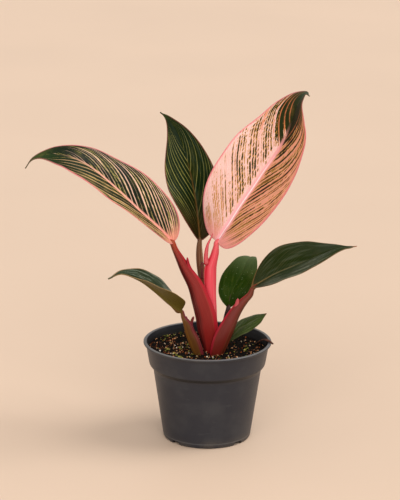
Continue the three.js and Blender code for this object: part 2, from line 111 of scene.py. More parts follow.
def maths(
    operation: str, kind: str = "ShaderNodeMath", output: int | str = 0, flipped: bool = False
) -> Callable[..., "Field"]:
    """Make a method that feeds what it is called on, and what it is given, to one node.

    Args:
        operation: What the node does.
        kind: The node's type name.
        output: The place or the name of the output.
        flipped: Whether what it is given comes first.

    Returns:
        The method.
    """

    def method(self: "Field", *others: "Field | float | Triple") -> "Field":
        """Add the node."""
        values = (*others, self) if flipped else (self, *others)
        return self.graph.call(kind, values, output, operation=operation)

    return method


def vectors(operation: str, output: int | str = 0) -> Callable[..., "Field"]:
    """Make a method as maths does, for vectors."""
    return maths(operation, "ShaderNodeVectorMath", output)


class Field:
    """A number that varies over a surface: a socket with the arithmetic that builds its nodes.

    over gives 1 above an edge and 0 below it. at_least and at_most keep a number from falling
    under or rising over another one.
    """

    def __init__(self, graph: "Graph", socket: NodeSocket) -> None:
        """Hold a socket of a graph."""
        self.graph = graph
        self.socket = socket

    @staticmethod
    def of(graph: "Graph", socket: NodeSocket) -> "Field | Arrow":
        """Hold a socket as a vector where it carries one, and as a number elsewhere."""
        return (Arrow if socket.type == "VECTOR" else Field)(graph, socket)

    __add__ = __radd__ = maths("ADD")
    __sub__ = maths("SUBTRACT")
    __rsub__ = maths("SUBTRACT", flipped=True)
    __mul__ = __rmul__ = maths("MULTIPLY")
    __truediv__ = maths("DIVIDE")
    __rtruediv__ = maths("DIVIDE", flipped=True)
    __pow__ = maths("POWER")
    __abs__ = maths("ABSOLUTE")
    sin, cos, exp = maths("SINE"), maths("COSINE"), maths("EXPONENT")
    floor, fract = maths("FLOOR"), maths("FRACT")
    over, at_least, at_most = maths("GREATER_THAN"), maths("MAXIMUM"), maths("MINIMUM")

    def bell(self) -> "Field":
        """1 at zero and falling to either side."""
        return (self * self * -1.0).exp()

    def smooth(self, low: "Field | float", high: "Field | float") -> "Field":
        """Rise smoothly from 0 at low to 1 at high, or fall where low is the larger.

        Args:
            low: Where the result is 0.
            high: Where the result is 1.

        Returns:
            The smooth step.
        """
        values = (self, low, high, 0.0, 1.0)
        return self.graph.call("ShaderNodeMapRange", values, interpolation_type="SMOOTHSTEP")

    def band(self, start: float, full: float, fading: float, end: float) -> "Field":
        """Rise from start to full, stay at 1 and fall again from fading to end."""
        return self.smooth(start, full) * self.smooth(end, fading)


class Arrow(Field):
    """A vector that varies over a surface. times multiplies it part by part."""

    __add__, __sub__, times = vectors("ADD"), vectors("SUBTRACT"), vectors("MULTIPLY")
    dot, cross, unit = vectors("DOT_PRODUCT", "Value"), vectors("CROSS_PRODUCT"), vectors("NORMALIZE")

    def __mul__(self, other: "Field | float") -> "Arrow":
        """Vector made longer or shorter."""
        values = {"Vector": self, "Scale": other}
        return self.graph.call("ShaderNodeVectorMath", values, operation="SCALE")

    def part(self, axis: int) -> Field:
        """One of the three components."""
        return self.graph.call("ShaderNodeSeparateXYZ", (self,), output=axis)


class Kind(Enum):
    """What an input of a tree takes: the type of its socket, and what turns a script's value into its own."""

    NUMBER = ("NodeSocketFloat", float)
    LENGTH = ("NodeSocketFloat", metres)
    VECTOR = ("NodeSocketVector", floats)
    ANGLES = ("NodeSocketVector", radians)
    WHOLE = ("NodeSocketInt", int)
    OBJECT = ("NodeSocketObject", None)
    MATERIAL = ("NodeSocketMaterial", None)

    def made(self, value: object) -> object:
        """A script's value as the input takes it."""
        return self.value[1](value) if self.value[1] else value


class Graph:
    """One node tree under construction."""

    tree_type = ""

    def __init__(self, tree: NodeTree) -> None:
        """Start on a tree.

        Args:
            tree: The tree of a material, or a new group.
        """
        self.tree = tree
        self.sockets: dict[str, tuple[str, Kind]] = {}
        self.entry: Node | None = None

    @classmethod
    def named(cls, name: str) -> "Graph":
        """Make a new node group.

        Args:
            name: The group's name.

        Returns:
            Its graph.
        """
        graph = cls(bpy.data.node_groups.new(name, cls.tree_type))
        graph.entry = graph.made("NodeGroupInput")
        return graph

    def feed(self, socket: NodeSocket, value: object) -> None:
        """Link a field to a socket, or set the socket to a plain value."""
        if isinstance(value, Field):
            self.tree.links.new(value.socket, socket)
        else:
            socket.default_value = value

    def made(self, kind: str, values: Sequence | dict = (), **settings: object) -> Node:
        """Add a node.

        Args:
            kind: The node's type name.
            values: What its inputs get, in order or by name.
            settings: Values for the node's own properties.

        Returns:
            The new node.
        """
        node = self.tree.nodes.new(kind)
        for name, value in settings.items():
            setattr(node, name, value)
        pairs = values.items() if isinstance(values, dict) else enumerate(values)
        for key, value in pairs:
            self.feed(live(node.inputs, key), value)
        return node

    def call(
        self, kind: str, values: Sequence | dict = (), output: int | str = 0, **settings: object
    ) -> Field | Arrow:
        """Add a node as made does, and return one of its outputs."""
        return Field.of(self, live(self.made(kind, values, **settings).outputs, output))

    def vector(self, x: Field | float, y: Field | float, z: Field | float = 0.0) -> Arrow:
        """Put three numbers together."""
        return self.call("ShaderNodeCombineXYZ", (x, y, z))

    def noise(
        self, at: Arrow, scale: Field | float = 1.0, detail: float = 2.0, roughness: float = 0.5
    ) -> Field:
        """Cloudy noise from 0 to 1."""
        values = {"Vector": at, "Scale": scale, "Detail": detail, "Roughness": roughness}
        return self.call("ShaderNodeTexNoise", values)

    def input(self, name: str, kind: Kind = Kind.NUMBER) -> Field | Arrow:
        """Add a named input to the group.

        Args:
            name: The socket's name.
            kind: What it takes.

        Returns:
            The input, as a vector or a number.
        """
        socket = self.tree.interface.new_socket(name, in_out="INPUT", socket_type=kind.value[0])
        self.sockets[name] = (socket.identifier, kind)
        return Field.of(self, self.entry.outputs[name])

    def inputs(self, *names: str, kind: Kind = Kind.NUMBER) -> list[Field | Arrow]:
        """Add several named inputs of one kind."""
        return [self.input(name, kind) for name in names]

    def outputs(self, **results: Field) -> None:
        """Add the group's outputs, each named after its keyword."""
        leave = self.made("NodeGroupOutput")
        kinds = {"GEOMETRY": "NodeSocketGeometry", "VECTOR": "NodeSocketVector"}
        for name, result in results.items():
            kind = kinds.get(result.socket.type, "NodeSocketFloat")
            self.tree.interface.new_socket(titled(name), in_out="OUTPUT", socket_type=kind)
            self.feed(leave.inputs[titled(name)], result)


class GeometryGraph(Graph):
    """A geometry node tree under construction, with the nodes that the plant's trees share."""

    tree_type = "GeometryNodeTree"

    def position(self) -> Arrow:
        """Where each point lies."""
        return self.call("GeometryNodeInputPosition")

    def normal(self) -> Arrow:
        """Which way each point faces."""
        return self.call("GeometryNodeInputNormal")

    def keep(self, mesh: Field, name: str, value: Field, domain: str = "POINT") -> Field:
        """Store a field on a mesh, so that the finish can read it.

        Args:
            mesh: The mesh.
            name: The name that it is stored under.
            value: The number or vector.
            domain: What each value belongs to.

        Returns:
            The mesh with the field.
        """
        kind = "FLOAT_VECTOR" if isinstance(value, Arrow) else "FLOAT"
        values = {"Geometry": mesh, "Name": name, "Value": value}
        return self.call("GeometryNodeStoreNamedAttribute", values, data_type=kind, domain=domain)

    def read(self, name: str, kind: str = "FLOAT") -> Field | Arrow:
        """Read a stored number back, or a vector where the kind is FLOAT_VECTOR."""
        return self.call("GeometryNodeInputNamedAttribute", {"Name": name}, data_type=kind)

    def random(self, low: float | Triple, high: float | Triple, seed: Field) -> Field | Arrow:
        """A random number or vector for each grain.

        Args:
            low: The least value.
            high: The largest value.
            seed: What fixes the draws.

        Returns:
            The draw.
        """
        kind = "FLOAT_VECTOR" if isinstance(low, tuple) else "FLOAT"
        values = {"Min": low, "Max": high, "Seed": seed}
        return self.call("FunctionNodeRandomValue", values, "Value", data_type=kind)

    def grid(self, rows: Field, columns: Field) -> Field:
        """A flat unit grid of faces."""
        values = {"Size X": 1.0, "Size Y": 1.0, "Vertices X": rows + 1.0, "Vertices Y": columns + 1.0}
        return self.call("GeometryNodeMeshGrid", values)

    def moved(self, mesh: Field, **values: Field) -> Field:
        """Set the position or offset of the points of a mesh."""
        named = {titled(name): value for name, value in values.items()}
        return self.call("GeometryNodeSetPosition", {"Geometry": mesh, **named})

    def welded(self, distance: float, *parts: Field) -> Field:
        """Join meshes and merge the points that lie on each other.

        Args:
            distance: How near to each other such points lie, in metres.
            parts: The meshes.

        Returns:
            The whole mesh.
        """
        node = self.made("GeometryNodeJoinGeometry")
        for part in reversed(parts):
            self.tree.links.new(part.socket, node.inputs[0])
        values = {"Geometry": Field(self, node.outputs[0]), "Distance": distance}
        return self.call("GeometryNodeMergeByDistance", values)

    def source(self, name: str) -> Field:
        """The geometry of an object that is a named input."""
        values = {"Object": self.input(name, Kind.OBJECT)}
        return self.call("GeometryNodeObjectInfo", values, "Geometry")

    def along(self, path: Field, share: Field) -> tuple[Arrow, Field]:
        """Follow a path.

        Args:
            path: The path.
            share: The place along its length.

        Returns:
            Where the path is there, and its radius.
        """
        values = {"Curves": path, "Factor": share, "Value": self.call("GeometryNodeInputRadius")}
        node = self.made("GeometryNodeSampleCurve", values, mode="FACTOR")
        return Field.of(self, node.outputs["Position"]), Field.of(self, node.outputs["Value"])

    def heading(self, path: Field, share: Field, step: float) -> Arrow:
        """The direction of a path.

        Args:
            path: The path.
            share: The place along its length.
            step: How far to either side the direction is taken.

        Returns:
            The direction, at length 1.
        """
        ahead, _ = self.along(path, (share + step).at_most(1.0))
        behind, _ = self.along(path, (share - step).at_least(0.0))
        return (ahead - behind).unit()

    def facing(self, along: Arrow) -> Arrow:
        """The direction of the input named Face, squared to another direction."""
        face = self.input("Face", Kind.VECTOR)
        return (face - along * along.dot(face)).unit()

    def finish(self, mesh: Field, smooth: bool = True) -> None:
        """End the tree: shading, instances made real and the material set.

        Args:
            mesh: The mesh.
            smooth: Whether its faces are shaded smooth.
        """
        shaded = self.call("GeometryNodeSetShadeSmooth", {"Geometry": mesh, "Shade Smooth": smooth})
        real = self.call("GeometryNodeRealizeInstances", {"Geometry": shaded})
        values = {"Geometry": real, "Material": self.input("Material", Kind.MATERIAL)}
        self.outputs(geometry=self.call("GeometryNodeSetMaterial", values))


class ShaderGraph(Graph):
    """A material or shader group under construction."""

    tree_type = "ShaderNodeTree"

    def attribute(self, name: str, output: str = "Fac") -> Field | Arrow:
        """A number stored on the piece, or a vector where the output is Vector."""
        return self.call("ShaderNodeAttribute", (), output, attribute_name=name)

    def place(self) -> Arrow:
        """Object coordinates, in metres."""
        return self.call("ShaderNodeTexCoord", (), "Object")

    def random(self, value: Field) -> Field:
        """A random number for each whole number."""
        return self.call("ShaderNodeTexWhiteNoise", {"W": value}, noise_dimensions="1D")

    def blend(
        self, first: Field | Colour, second: Field | Colour, share: Field | float, mode: str = "MIX"
    ) -> Field:
        """Mix two colours.

        Args:
            first: The colour at share 0.
            second: The colour at share 1.
            share: How much of the second shows.
            mode: The mixing mode.

        Returns:
            The mixed colour.
        """
        values = {"Factor": share, "A": as_colour(first), "B": as_colour(second)}
        return self.call("ShaderNodeMix", values, "Result", data_type="RGBA", blend_type=mode)

    def ramp(self, value: Field, stops: Sequence[tuple[float, str | float]]) -> Field:
        """Turn a number into a colour.

        Args:
            value: The number, from 0 to 1.
            stops: Where each colour is reached, and the colour or the level of its grey.

        Returns:
            The colour.
        """
        node = self.made("ShaderNodeValToRGB", (value,))
        band = node.color_ramp
        while len(band.elements) < len(stops):
            band.elements.new(0.5)
        for element, (place, colour) in zip(band.elements, stops):
            element.position = place
            element.color = as_colour(colour)
        return Field(self, node.outputs["Color"])

    def use(self, group: "ShaderGraph", **values: object) -> list[Field]:
        """Place a shared group.

        Args:
            group: The group.
            values: What its inputs get.

        Returns:
            Its outputs, in order.
        """
        node = self.made("ShaderNodeGroup", node_tree=group.tree)
        for name, value in values.items():
            self.feed(node.inputs[titled(name)], value)
        return [Field.of(self, socket) for socket in node.outputs]

    def bump(self, height: Field, distance: float, strength: float = 1.0) -> Arrow:
        """A normal from a height, whose unit stands the given metres tall."""
        values = {"Height": height, "Distance": distance, "Strength": strength}
        return self.call("ShaderNodeBump", values)


class Paint(ShaderGraph):
    """A material whose colour is laid on coat by coat."""

    def __init__(self, title: str, ground: str = "000000") -> None:
        """Start a material.

        Args:
            title: The material's name.
            ground: The colour under all coats.
        """
        self.material = bpy.data.materials.new(title)
        self.material.use_nodes = True
        super().__init__(self.material.node_tree)
        self.colour = as_colour(ground)

    def coat(self, colour: str | Field, share: Field | float, mode: str = "MIX") -> None:
        """Lay a colour over the coats before it."""
        self.colour = self.blend(self.colour, colour, share, mode)

    def shade(self, value: Field, *stops: Pair) -> None:
        """Darken the coats by a grey that follows a number."""
        self.coat(self.ramp(value, stops), 1.0, "MULTIPLY")

    def done(self, values: dict[str, object]) -> Material:
        """Feed the shader its colour and its other inputs.

        Args:
            values: The other inputs, by name.

        Returns:
            The material.
        """
        shader = self.tree.nodes["Principled BSDF"]
        for name, value in {"Base Color": self.colour, **values}.items():
            self.feed(shader.inputs[name], value)
        return self.material


def dense_curve(points: Sequence[Sequence[float]], steps: int = 24) -> np.ndarray:
    """Round a row of given points into one smooth curve that passes through them.

    Args:
        points: The points, each with as many numbers as it needs.
        steps: How many short steps each span gets.

    Returns:
        The points of the curve, one a row.
    """
    known = np.asarray(points, float)
    spans = len(known) - 1
    padded = np.vstack([2 * known[0] - known[1], known, 2 * known[-1] - known[-2]])
    place = np.linspace(0, spans, spans * steps + 1)
    first = np.minimum(place.astype(int), spans - 1)
    u = (place - first)[:, None]
    a, b, c, d = (padded[first + k] for k in range(4))
    slope_b, slope_c = (c - a) / 2, (d - b) / 2
    cubic = 2 * b - 2 * c + slope_b + slope_c
    square = 3 * c - 3 * b - 2 * slope_b - slope_c
    return cubic * u**3 + square * u**2 + slope_b * u + b


def path_object(points: Sequence[Sequence[float]]) -> Object:
    """Make a helper path.

    Args:
        points: x, y, z and, where they have it, half width, in millimetres.

    Returns:
        The path, with the half width as its radius.
    """
    stations = dense_curve(points) * MM
    data = bpy.data.curves.new("path", "CURVE")
    data.dimensions = "3D"
    spline = data.splines.new("POLY")
    spline.points.add(len(stations) - 1)
    for point, station in zip(spline.points, stations):
        point.co = (*station[:3], 1.0)
        point.radius = max(station[3], 0.0) if len(station) > 3 else 1.0
    return linked(bpy.data.objects.new("path", data))


def grown(name: str, graph: GeometryGraph, **values: object) -> Object:
    """Grow a piece from a geometry tree and leave it as a plain mesh.

    Args:
        name: The piece's name.
        graph: The tree that makes it.
        values: The tree's inputs, in the script's units.

    Returns:
        The finished object, with no modifier.
    """
    piece = linked(bpy.data.objects.new(name, bpy.data.meshes.new(name)))
    modifier = piece.modifiers.new("Growth", "NODES")
    modifier.node_group = graph.tree
    for key, value in values.items():
        identifier, kind = graph.sockets[titled(key)]
        modifier[identifier] = kind.made(value)
    depsgraph = bpy.context.evaluated_depsgraph_get()
    mesh = bpy.data.meshes.new_from_object(
        piece.evaluated_get(depsgraph), preserve_all_data_layers=True, depsgraph=depsgraph
    )
    piece.modifiers.clear()
    piece.data = mesh
    mesh.name = name
    return piece


def linked(thing: Object) -> Object:
    """Put an object into the scene."""
    bpy.context.scene.collection.objects.link(thing)
    return thing


def discard(*helpers: Object) -> None:
    """Remove helper objects that aren't pieces."""
    for helper in helpers:
        bpy.data.objects.remove(helper)


def settle(piece: Object, slot: "Slot", *nodes: str) -> None:
    """Ride a piece on the plant's body.

    Args:
        piece: The piece.
        slot: Its finish in the record. It is not used.
        nodes: The nodes that it stands for.
    """
    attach(piece, BODY)
    if nodes:
        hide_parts(*nodes)
    LOG.info("%s: %d faces", piece.name, len(piece.data.polygons))


def parabola(bends: Arrow, share: Field) -> Field:
    """The smooth run of a value that is known at three places.

    Args:
        bends: The value at the base, the middle and the tip.
        share: The place along the length.

    Returns:
        The value there.
    """
    rest = 1.0 - share
    first = bends.part(0) * rest * (1.0 - share * 2.0)
    middle = bends.part(1) * share * rest * 4.0
    return first + middle + bends.part(2) * share * (share * 2.0 - 1.0)


def gathered(place: Field, amount: float) -> Field:
    """Draw evenly spaced places from 0 to 1 together toward 0 and 1."""
    return place - (place * TURN).sin() * (amount / TURN)


@dataclass
class Growth:
    """A rule that pieces follow: a geometry tree that is built once, for all of them."""

    graph: GeometryGraph = field(init=False)

    def __post_init__(self) -> None:
        """Build the tree."""
        self.graph = self._tree()

    def _tree(self) -> GeometryGraph:
        """Build the geometry tree."""
        raise NotImplementedError


@dataclass
class BladeGrowth(Growth):
    """The rule that every blade follows: a folded, curled and veined sheet along its spine.

    The swelling and lobe powers, the tail's span and the waves are those of the solid blades.
    """

    swelling_power: float = 8.0
    lobe_power: float = 10.0
    tail_span: Pair = (0.8, 0.97)
    least_half_width: float = 0.6
    edge_waves: float = 3.5
    tangent_step: float = 0.012
    gather: float = 0.6
    groove_width: float = 1.5
    keel_width: float = 2.2
    thickness: float = 0.8
    edge_thinning: float = 0.35
    weld: float = 1e-6
    tongue_at: float = 0.945
    tongue_run: float = 0.025

    def _half_width(self, graph: GeometryGraph, share: Field) -> Field:
        """Half the blade's width.

        Args:
            graph: The blade's tree.
            share: The place along the blade's length.

        Returns:
            The half width there, in metres.
        """
        width = graph.input("Half Width", Kind.LENGTH)
        base_power, tip_power = graph.inputs("Base Power", "Tip Power")
        base_share, tail_share, tongue = graph.inputs("Base Share", "Tail Share", "Tongue")
        rest = (1.0 - share).at_least(0.0)
        widest = base_power / (base_power + tip_power)
        peak = widest**base_power * (1.0 - widest) ** tip_power
        body = share**base_power * rest**tip_power / peak
        outline = body + base_share * rest**self.swelling_power
        tail = 1.0 - tail_share * share.smooth(*self.tail_span)
        swell = tongue * ((share - self.tongue_at) / self.tongue_run).bell()
        return (width * (outline * tail + swell)).at_least(self.least_half_width * MM)

    def _vein(self, graph: GeometryGraph, share: Field, reach: Field, right: Field) -> Field:
        """Where the vein through a point leaves the rib.

        Args:
            graph: The blade's tree.
            share: The place along the blade's length.
            reach: How far out the point lies, from the rib at 0 to the edge at 1.
            right: 1 on the right half.

        Returns:
            The share of the length at which the vein starts.
        """
        sweeps = graph.inputs("Sweep Left", "Sweep Right", kind=Kind.VECTOR)
        slope, bend, power = (
            sweeps[0].part(k) + (sweeps[1].part(k) - sweeps[0].part(k)) * right for k in range(3)
        )
        return share - slope * reach - bend * reach**power

    def _relief(self, graph: GeometryGraph, share: Field, reach: Field, width: Field, vein: Field) -> Field:
        """How far the pleats between the veins and the rib's groove raise the sheet.

        Args:
            graph: The blade's tree.
            share: The place along the blade's length.
            reach: How far out the point lies.
            width: The half width there.
            vein: Where the point's vein leaves the rib.

        Returns:
            The height, in metres.
        """
        pleat, groove = graph.inputs("Pleat", "Groove", kind=Kind.LENGTH)
        quilt = abs((vein * graph.input("Pleats") * math.pi).sin()) ** 0.7 - 0.6
        inside = reach.band(0.02, 0.22, 0.8, 1.0)
        ends = share.band(0.0, 0.08, 0.85, 1.0)
        channel = (reach * width / (self.groove_width * MM)).bell() * share.smooth(1.0, 0.6)
        return quilt * pleat * inside * ends - groove * channel

    def _tree(self) -> GeometryGraph:
        """Build the geometry tree of a blade."""
        graph = GeometryGraph.named("Blade along a spine")
        path = graph.source("Spine")
        at = graph.position()
        sheet = graph.grid(*graph.inputs("Rows", "Columns", kind=Kind.WHOLE))
        sheet = graph.keep(sheet, "share", gathered(at.part(0) + 0.5, self.gather))
        sheet = graph.keep(sheet, "across", gathered(at.part(1) * 2.0, self.gather))
        share, across = graph.read("share"), graph.read("across")
        reach, right = abs(across), across.over(0.0)
        width = self._half_width(graph, share)
        vein = self._vein(graph, share, reach, right)
        sheet = graph.keep(sheet, "vein", vein)
        sheet = graph.keep(sheet, "from_rib", reach * width / MM)
        sheet = graph.keep(sheet, "from_edge", (1.0 - reach) * width / MM)

        along = graph.heading(path, share, self.tangent_step)
        facing = graph.facing(along)
        curl, fold, roll = (
            parabola(bends, share) for bends in graph.inputs("Curl", "Fold", "Roll", kind=Kind.ANGLES)
        )
        normal = facing * roll.cos() + along.cross(facing) * roll.sin()
        sideways = along.cross(normal)

        half_curl = curl * reach * 0.5
        angle = fold + half_curl
        arc = reach * width * (1.0 - half_curl * half_curl / 6.0)
        phase = share * (TURN * self.edge_waves) + (1.0 - right) * (math.pi / 2)
        wave, lobe, keel = graph.inputs("Wave", "Lobe", "Keel", kind=Kind.LENGTH)
        wave = wave * (share * (1.0 - share) * 4.0 * reach * reach) * phase.sin()
        lift = arc * angle.sin() + wave + self._relief(graph, share, reach, width, vein)
        centre, _ = graph.along(path, share)
        point = centre + sideways * ((right * 2.0 - 1.0) * arc * angle.cos()) + normal * lift
        lobe = lobe * reach * reach * (1.0 - share).at_least(0.0) ** self.lobe_power
        sheet = graph.moved(sheet, position=point - along * lobe)

        sheet = graph.keep(sheet, "down", graph.normal())
        depth = (1.0 - reach * reach * self.edge_thinning) * (self.thickness * MM)
        depth = depth + keel * (1.0 - share) * (reach * width / (self.keel_width * MM)).bell()
        values = {"Mesh": sheet, "Offset Scale": 0.0, "Individual": False}
        walled = graph.made("GeometryNodeExtrudeMesh", values)
        shell, lower = (Field(graph, walled.outputs[name]) for name in ("Mesh", "Top"))
        shell = graph.moved(shell, selection=lower, offset=graph.read("down", "FLOAT_VECTOR") * depth)
        shell = graph.keep(shell, "under", lower)
        upper = graph.call("GeometryNodeFlipFaces", {"Mesh": sheet})
        body = graph.welded(self.weld, upper, shell)
        graph.finish(graph.call("GeometryNodeRemoveAttribute", {"Geometry": body, "Name": "down"}))
        return graph


@dataclass
class StalkGrowth(Growth):
    """The rule for petioles, sheath tips and bark: a flattened rod along a path, closed at both ends."""

    rows: int = 150
    sides: int = 40
    tangent_step: float = 0.012
    gather: float = 0.6
    weld: float = 1e-6
    flutes: int = 22
    flute: float = 0.05
    wrap: float = 0.14
    end: float = 1.6
    mottle_scale: float = 260.0

    def _tree(self) -> GeometryGraph:
        """Build the geometry tree of a stalk."""
        graph = GeometryGraph.named("Stalk along a path")
        path = graph.source("Path")
        at = graph.position()
        angle = (at.part(1) + 0.5) * TURN
        sheet = graph.grid(*graph.inputs("Rows", "Sides", kind=Kind.WHOLE))
        sheet = graph.keep(sheet, "share", gathered(at.part(0) + 0.5, self.gather))
        sheet = graph.keep(sheet, "turn", graph.vector(angle.cos(), angle.sin()))
        share, turn = graph.read("share"), graph.read("turn", "FLOAT_VECTOR")
        side, front = turn.part(0), turn.part(1)

        half_depth, flute, end = graph.inputs("Half Depth", "Flute", "End", kind=Kind.LENGTH)
        wrap, channel, rough = graph.inputs("Wrap", "Channel", "Rough")
        along = graph.heading(path, share, self.tangent_step)
        normal = graph.facing(along)
        centre, half_width = graph.along(path, share)
        length = graph.call("GeometryNodeCurveLength", {"Curve": path})
        to_end = (share.at_most(1.0 - share) * length / end).at_most(1.0)
        rounding = ((2.0 - to_end) * to_end).at_least(0.0) ** 0.5
        back = front.at_most(0.0)
        hollow = 1.0 - channel * back * back * half_width.smooth(half_depth, half_depth * 1.6)
        ripple = (at.part(1) * (TURN * self.flutes)).sin() * flute
        forward = front * half_width.at_most(half_depth) * hollow
        forward = forward - wrap * (half_width - half_depth).at_least(0.0) * side * side
        texture = graph.noise(centre * self.mottle_scale + turn, scale=5.0, detail=3.0)
        size = rounding * (1.0 + (texture - 0.5) * rough)
        offset = along.cross(normal) * (side * (half_width + ripple)) + normal * (forward + ripple * front)
        graph.finish(graph.welded(self.weld, graph.moved(sheet, position=centre + offset * size)))
        return graph

    def rod(self, name: str, stations: Sequence[Station], depth: float, **extra: object) -> Object:
        """Grow one rod along stations that run upward.

        Args:
            name: The piece's name.
            stations: x, y, z and half width in millimetres.
            depth: Half of its depth from front to back, at most.
            extra: Inputs of the tree.

        Returns:
            The rod.
        """
        values = {
            "path": path_object(stations), "rows": self.rows, "sides": self.sides, "half_depth": depth,
            "wrap": self.wrap, "channel": 0.0, "flute": self.flute, "rough": 0.0, "end": self.end,
            "face": FORWARD, **extra,
        }
        piece = grown(name, self.graph, **values)
        discard(values["path"])
        return piece


@dataclass
class GrainGrowth(Growth):
    """The rule for what lies on the mix: grains over a surface, each turned and worn its own way."""

    patch_edge: float = 0.12
    chip_scale: float = 700.0
    side_run: float = 30.0
    stretch: Pair = (0.7, 1.2)

    def _tree(self) -> GeometryGraph:
        """Build the geometry tree of a scatter."""
        graph = GeometryGraph.named("Grains on a surface")
        surface, grain = graph.source("Surface"), graph.source("Grain")
        lengths = graph.inputs("Patch Size", "Smallest", "Largest", "Sink", "Wear", kind=Kind.LENGTH)
        patch_size, smallest, largest, sink, wear = lengths
        density, patch_cut, thinning, tilt = graph.inputs("Density", "Patch Cut", "Thinning", "Tilt")
        away, shape = graph.inputs("Away", "Shape", kind=Kind.VECTOR)
        seed = graph.input("Seed", Kind.WHOLE)
        at = graph.position()
        cloud = graph.noise(at, scale=1.0 / patch_size)
        side_run = self.side_run * MM
        thick = 1.0 - thinning * at.dot(away).smooth(-side_run, side_run)
        thick = cloud.smooth(patch_cut, patch_cut + self.patch_edge) * thick
        values = {"Mesh": surface, "Density": density * thick, "Seed": seed}
        points = graph.call("GeometryNodeDistributePointsOnFaces", values, "Points")
        chance = graph.random(0.0, 1.0, seed + 1.0)
        size = smallest + (largest - smallest) * chance**2.0
        lean = graph.random((-1.0, -1.0, -8.0), (1.0, 1.0, 8.0), seed + 2.0)
        turn = graph.vector(lean.part(0) * tilt, lean.part(1) * tilt, lean.part(2))
        stretch = graph.random(*((limit, limit, limit) for limit in self.stretch), seed + 3.0)
        values = {
            "Points": points, "Instance": grain, "Scale": stretch.times(shape) * size,
            "Rotation": graph.call("FunctionNodeEulerToRotation", (turn,)),
        }
        placed = graph.call("GeometryNodeInstanceOnPoints", values)
        placed = graph.keep(placed, "tone", graph.random(0.0, 1.0, seed + 4.0), domain="INSTANCE")
        values = {"Instances": placed, "Translation": graph.vector(0.0, 0.0, sink * -1.0)}
        sunk = graph.call("GeometryNodeTranslateInstances", {**values, "Local Space": False})
        real = graph.call("GeometryNodeRealizeInstances", {"Geometry": sunk})
        chip = graph.noise(at * self.chip_scale, scale=5.0)
        worn = graph.moved(real, offset=graph.normal() * ((chip - 0.5) * wear))
        graph.finish(worn, smooth=False)
        return graph


def mesh_piece(name: str, build: BMesh, smooth_under: float = 35.0) -> Object:
    """Turn a finished build into an object, smooth except over its hard edges.

    Args:
        name: The object's name.
        build: The mesh under construction, which this call frees.
        smooth_under: Edges sharper than this many degrees stay hard.

    Returns:
        The object, linked to the scene.
    """
    bmesh.ops.remove_doubles(build, verts=build.verts, dist=1e-6)
    bmesh.ops.recalc_face_normals(build, faces=build.faces)
    limit = math.radians(smooth_under)
    for face in build.faces:
        face.smooth = True
    for edge in build.edges:
        edge.smooth = len(edge.link_faces) != 2 or edge.calc_face_angle(0.0) < limit
    mesh = bpy.data.meshes.new(name)
    build.to_mesh(mesh)
    build.free()
    return linked(bpy.data.objects.new(name, mesh))


def rounded(profile: Sequence[Pair], radius: float, steps: int = 3) -> list[Vector]:
    """Round the inner corners of a profile.

    Args:
        profile: Radius and height of each corner, in millimetres.
        radius: How far from a corner its rounding starts.
        steps: Points on each rounding.

    Returns:
        The rounded profile.
    """
    corners = [Vector(point) for point in profile]
    made = [corners[0]]
    for before, corner, after in zip(corners, corners[1:], corners[2:]):
        back, ahead = before - corner, after - corner
        back_reach = min(radius, back.length / 2.2)
        ahead_reach = min(radius, ahead.length / 2.2)
        start = corner + back.normalized() * back_reach
        stop = corner + ahead.normalized() * ahead_reach
        for k in range(steps + 1):
            u = k / steps
            made.append(start * (1 - u) ** 2 + corner * 2 * u * (1 - u) + stop * u**2)
    return [*made, corners[-1]]


def turned(profile: Sequence[Vector], sides: int) -> BMesh:
    """Turn a profile about the Z axis.

    Args:
        profile: Radius and height of each point, in millimetres, from one pole to the other.
        sides: How many sides the round has.

    Returns:
        The closed build, in metres.
    """
    build = bmesh.new()
    rings = []
    for radius, height in profile:
        ring = []
        for k in range(sides):
            angle = TURN * k / sides
            where = (radius * math.sin(angle), -radius * math.cos(angle), height)
            ring.append(build.verts.new(Vector(where) * MM))
        rings.append(ring)
    for lower, upper in zip(rings, rings[1:]):
        for k in range(sides):
            after = (k + 1) % sides
            build.faces.new((lower[k], lower[after], upper[after], upper[k]))
    bmesh.ops.remove_doubles(build, verts=build.verts, dist=1e-7)
    return build


def azimuth_point(radius: float, azimuth: float) -> Pair:
    """A place round the pot, with the azimuth counted in degrees from the front toward +X."""
    angle = math.radians(azimuth)
    return radius * math.sin(angle), -radius * math.cos(angle)


def moved_round(radius: float, azimuth: float) -> Matrix:
    """The move from the middle to a place round the pot, in metres."""
    x, y = azimuth_point(radius, azimuth)
    return Matrix.Translation((x * MM, y * MM, 0.0))


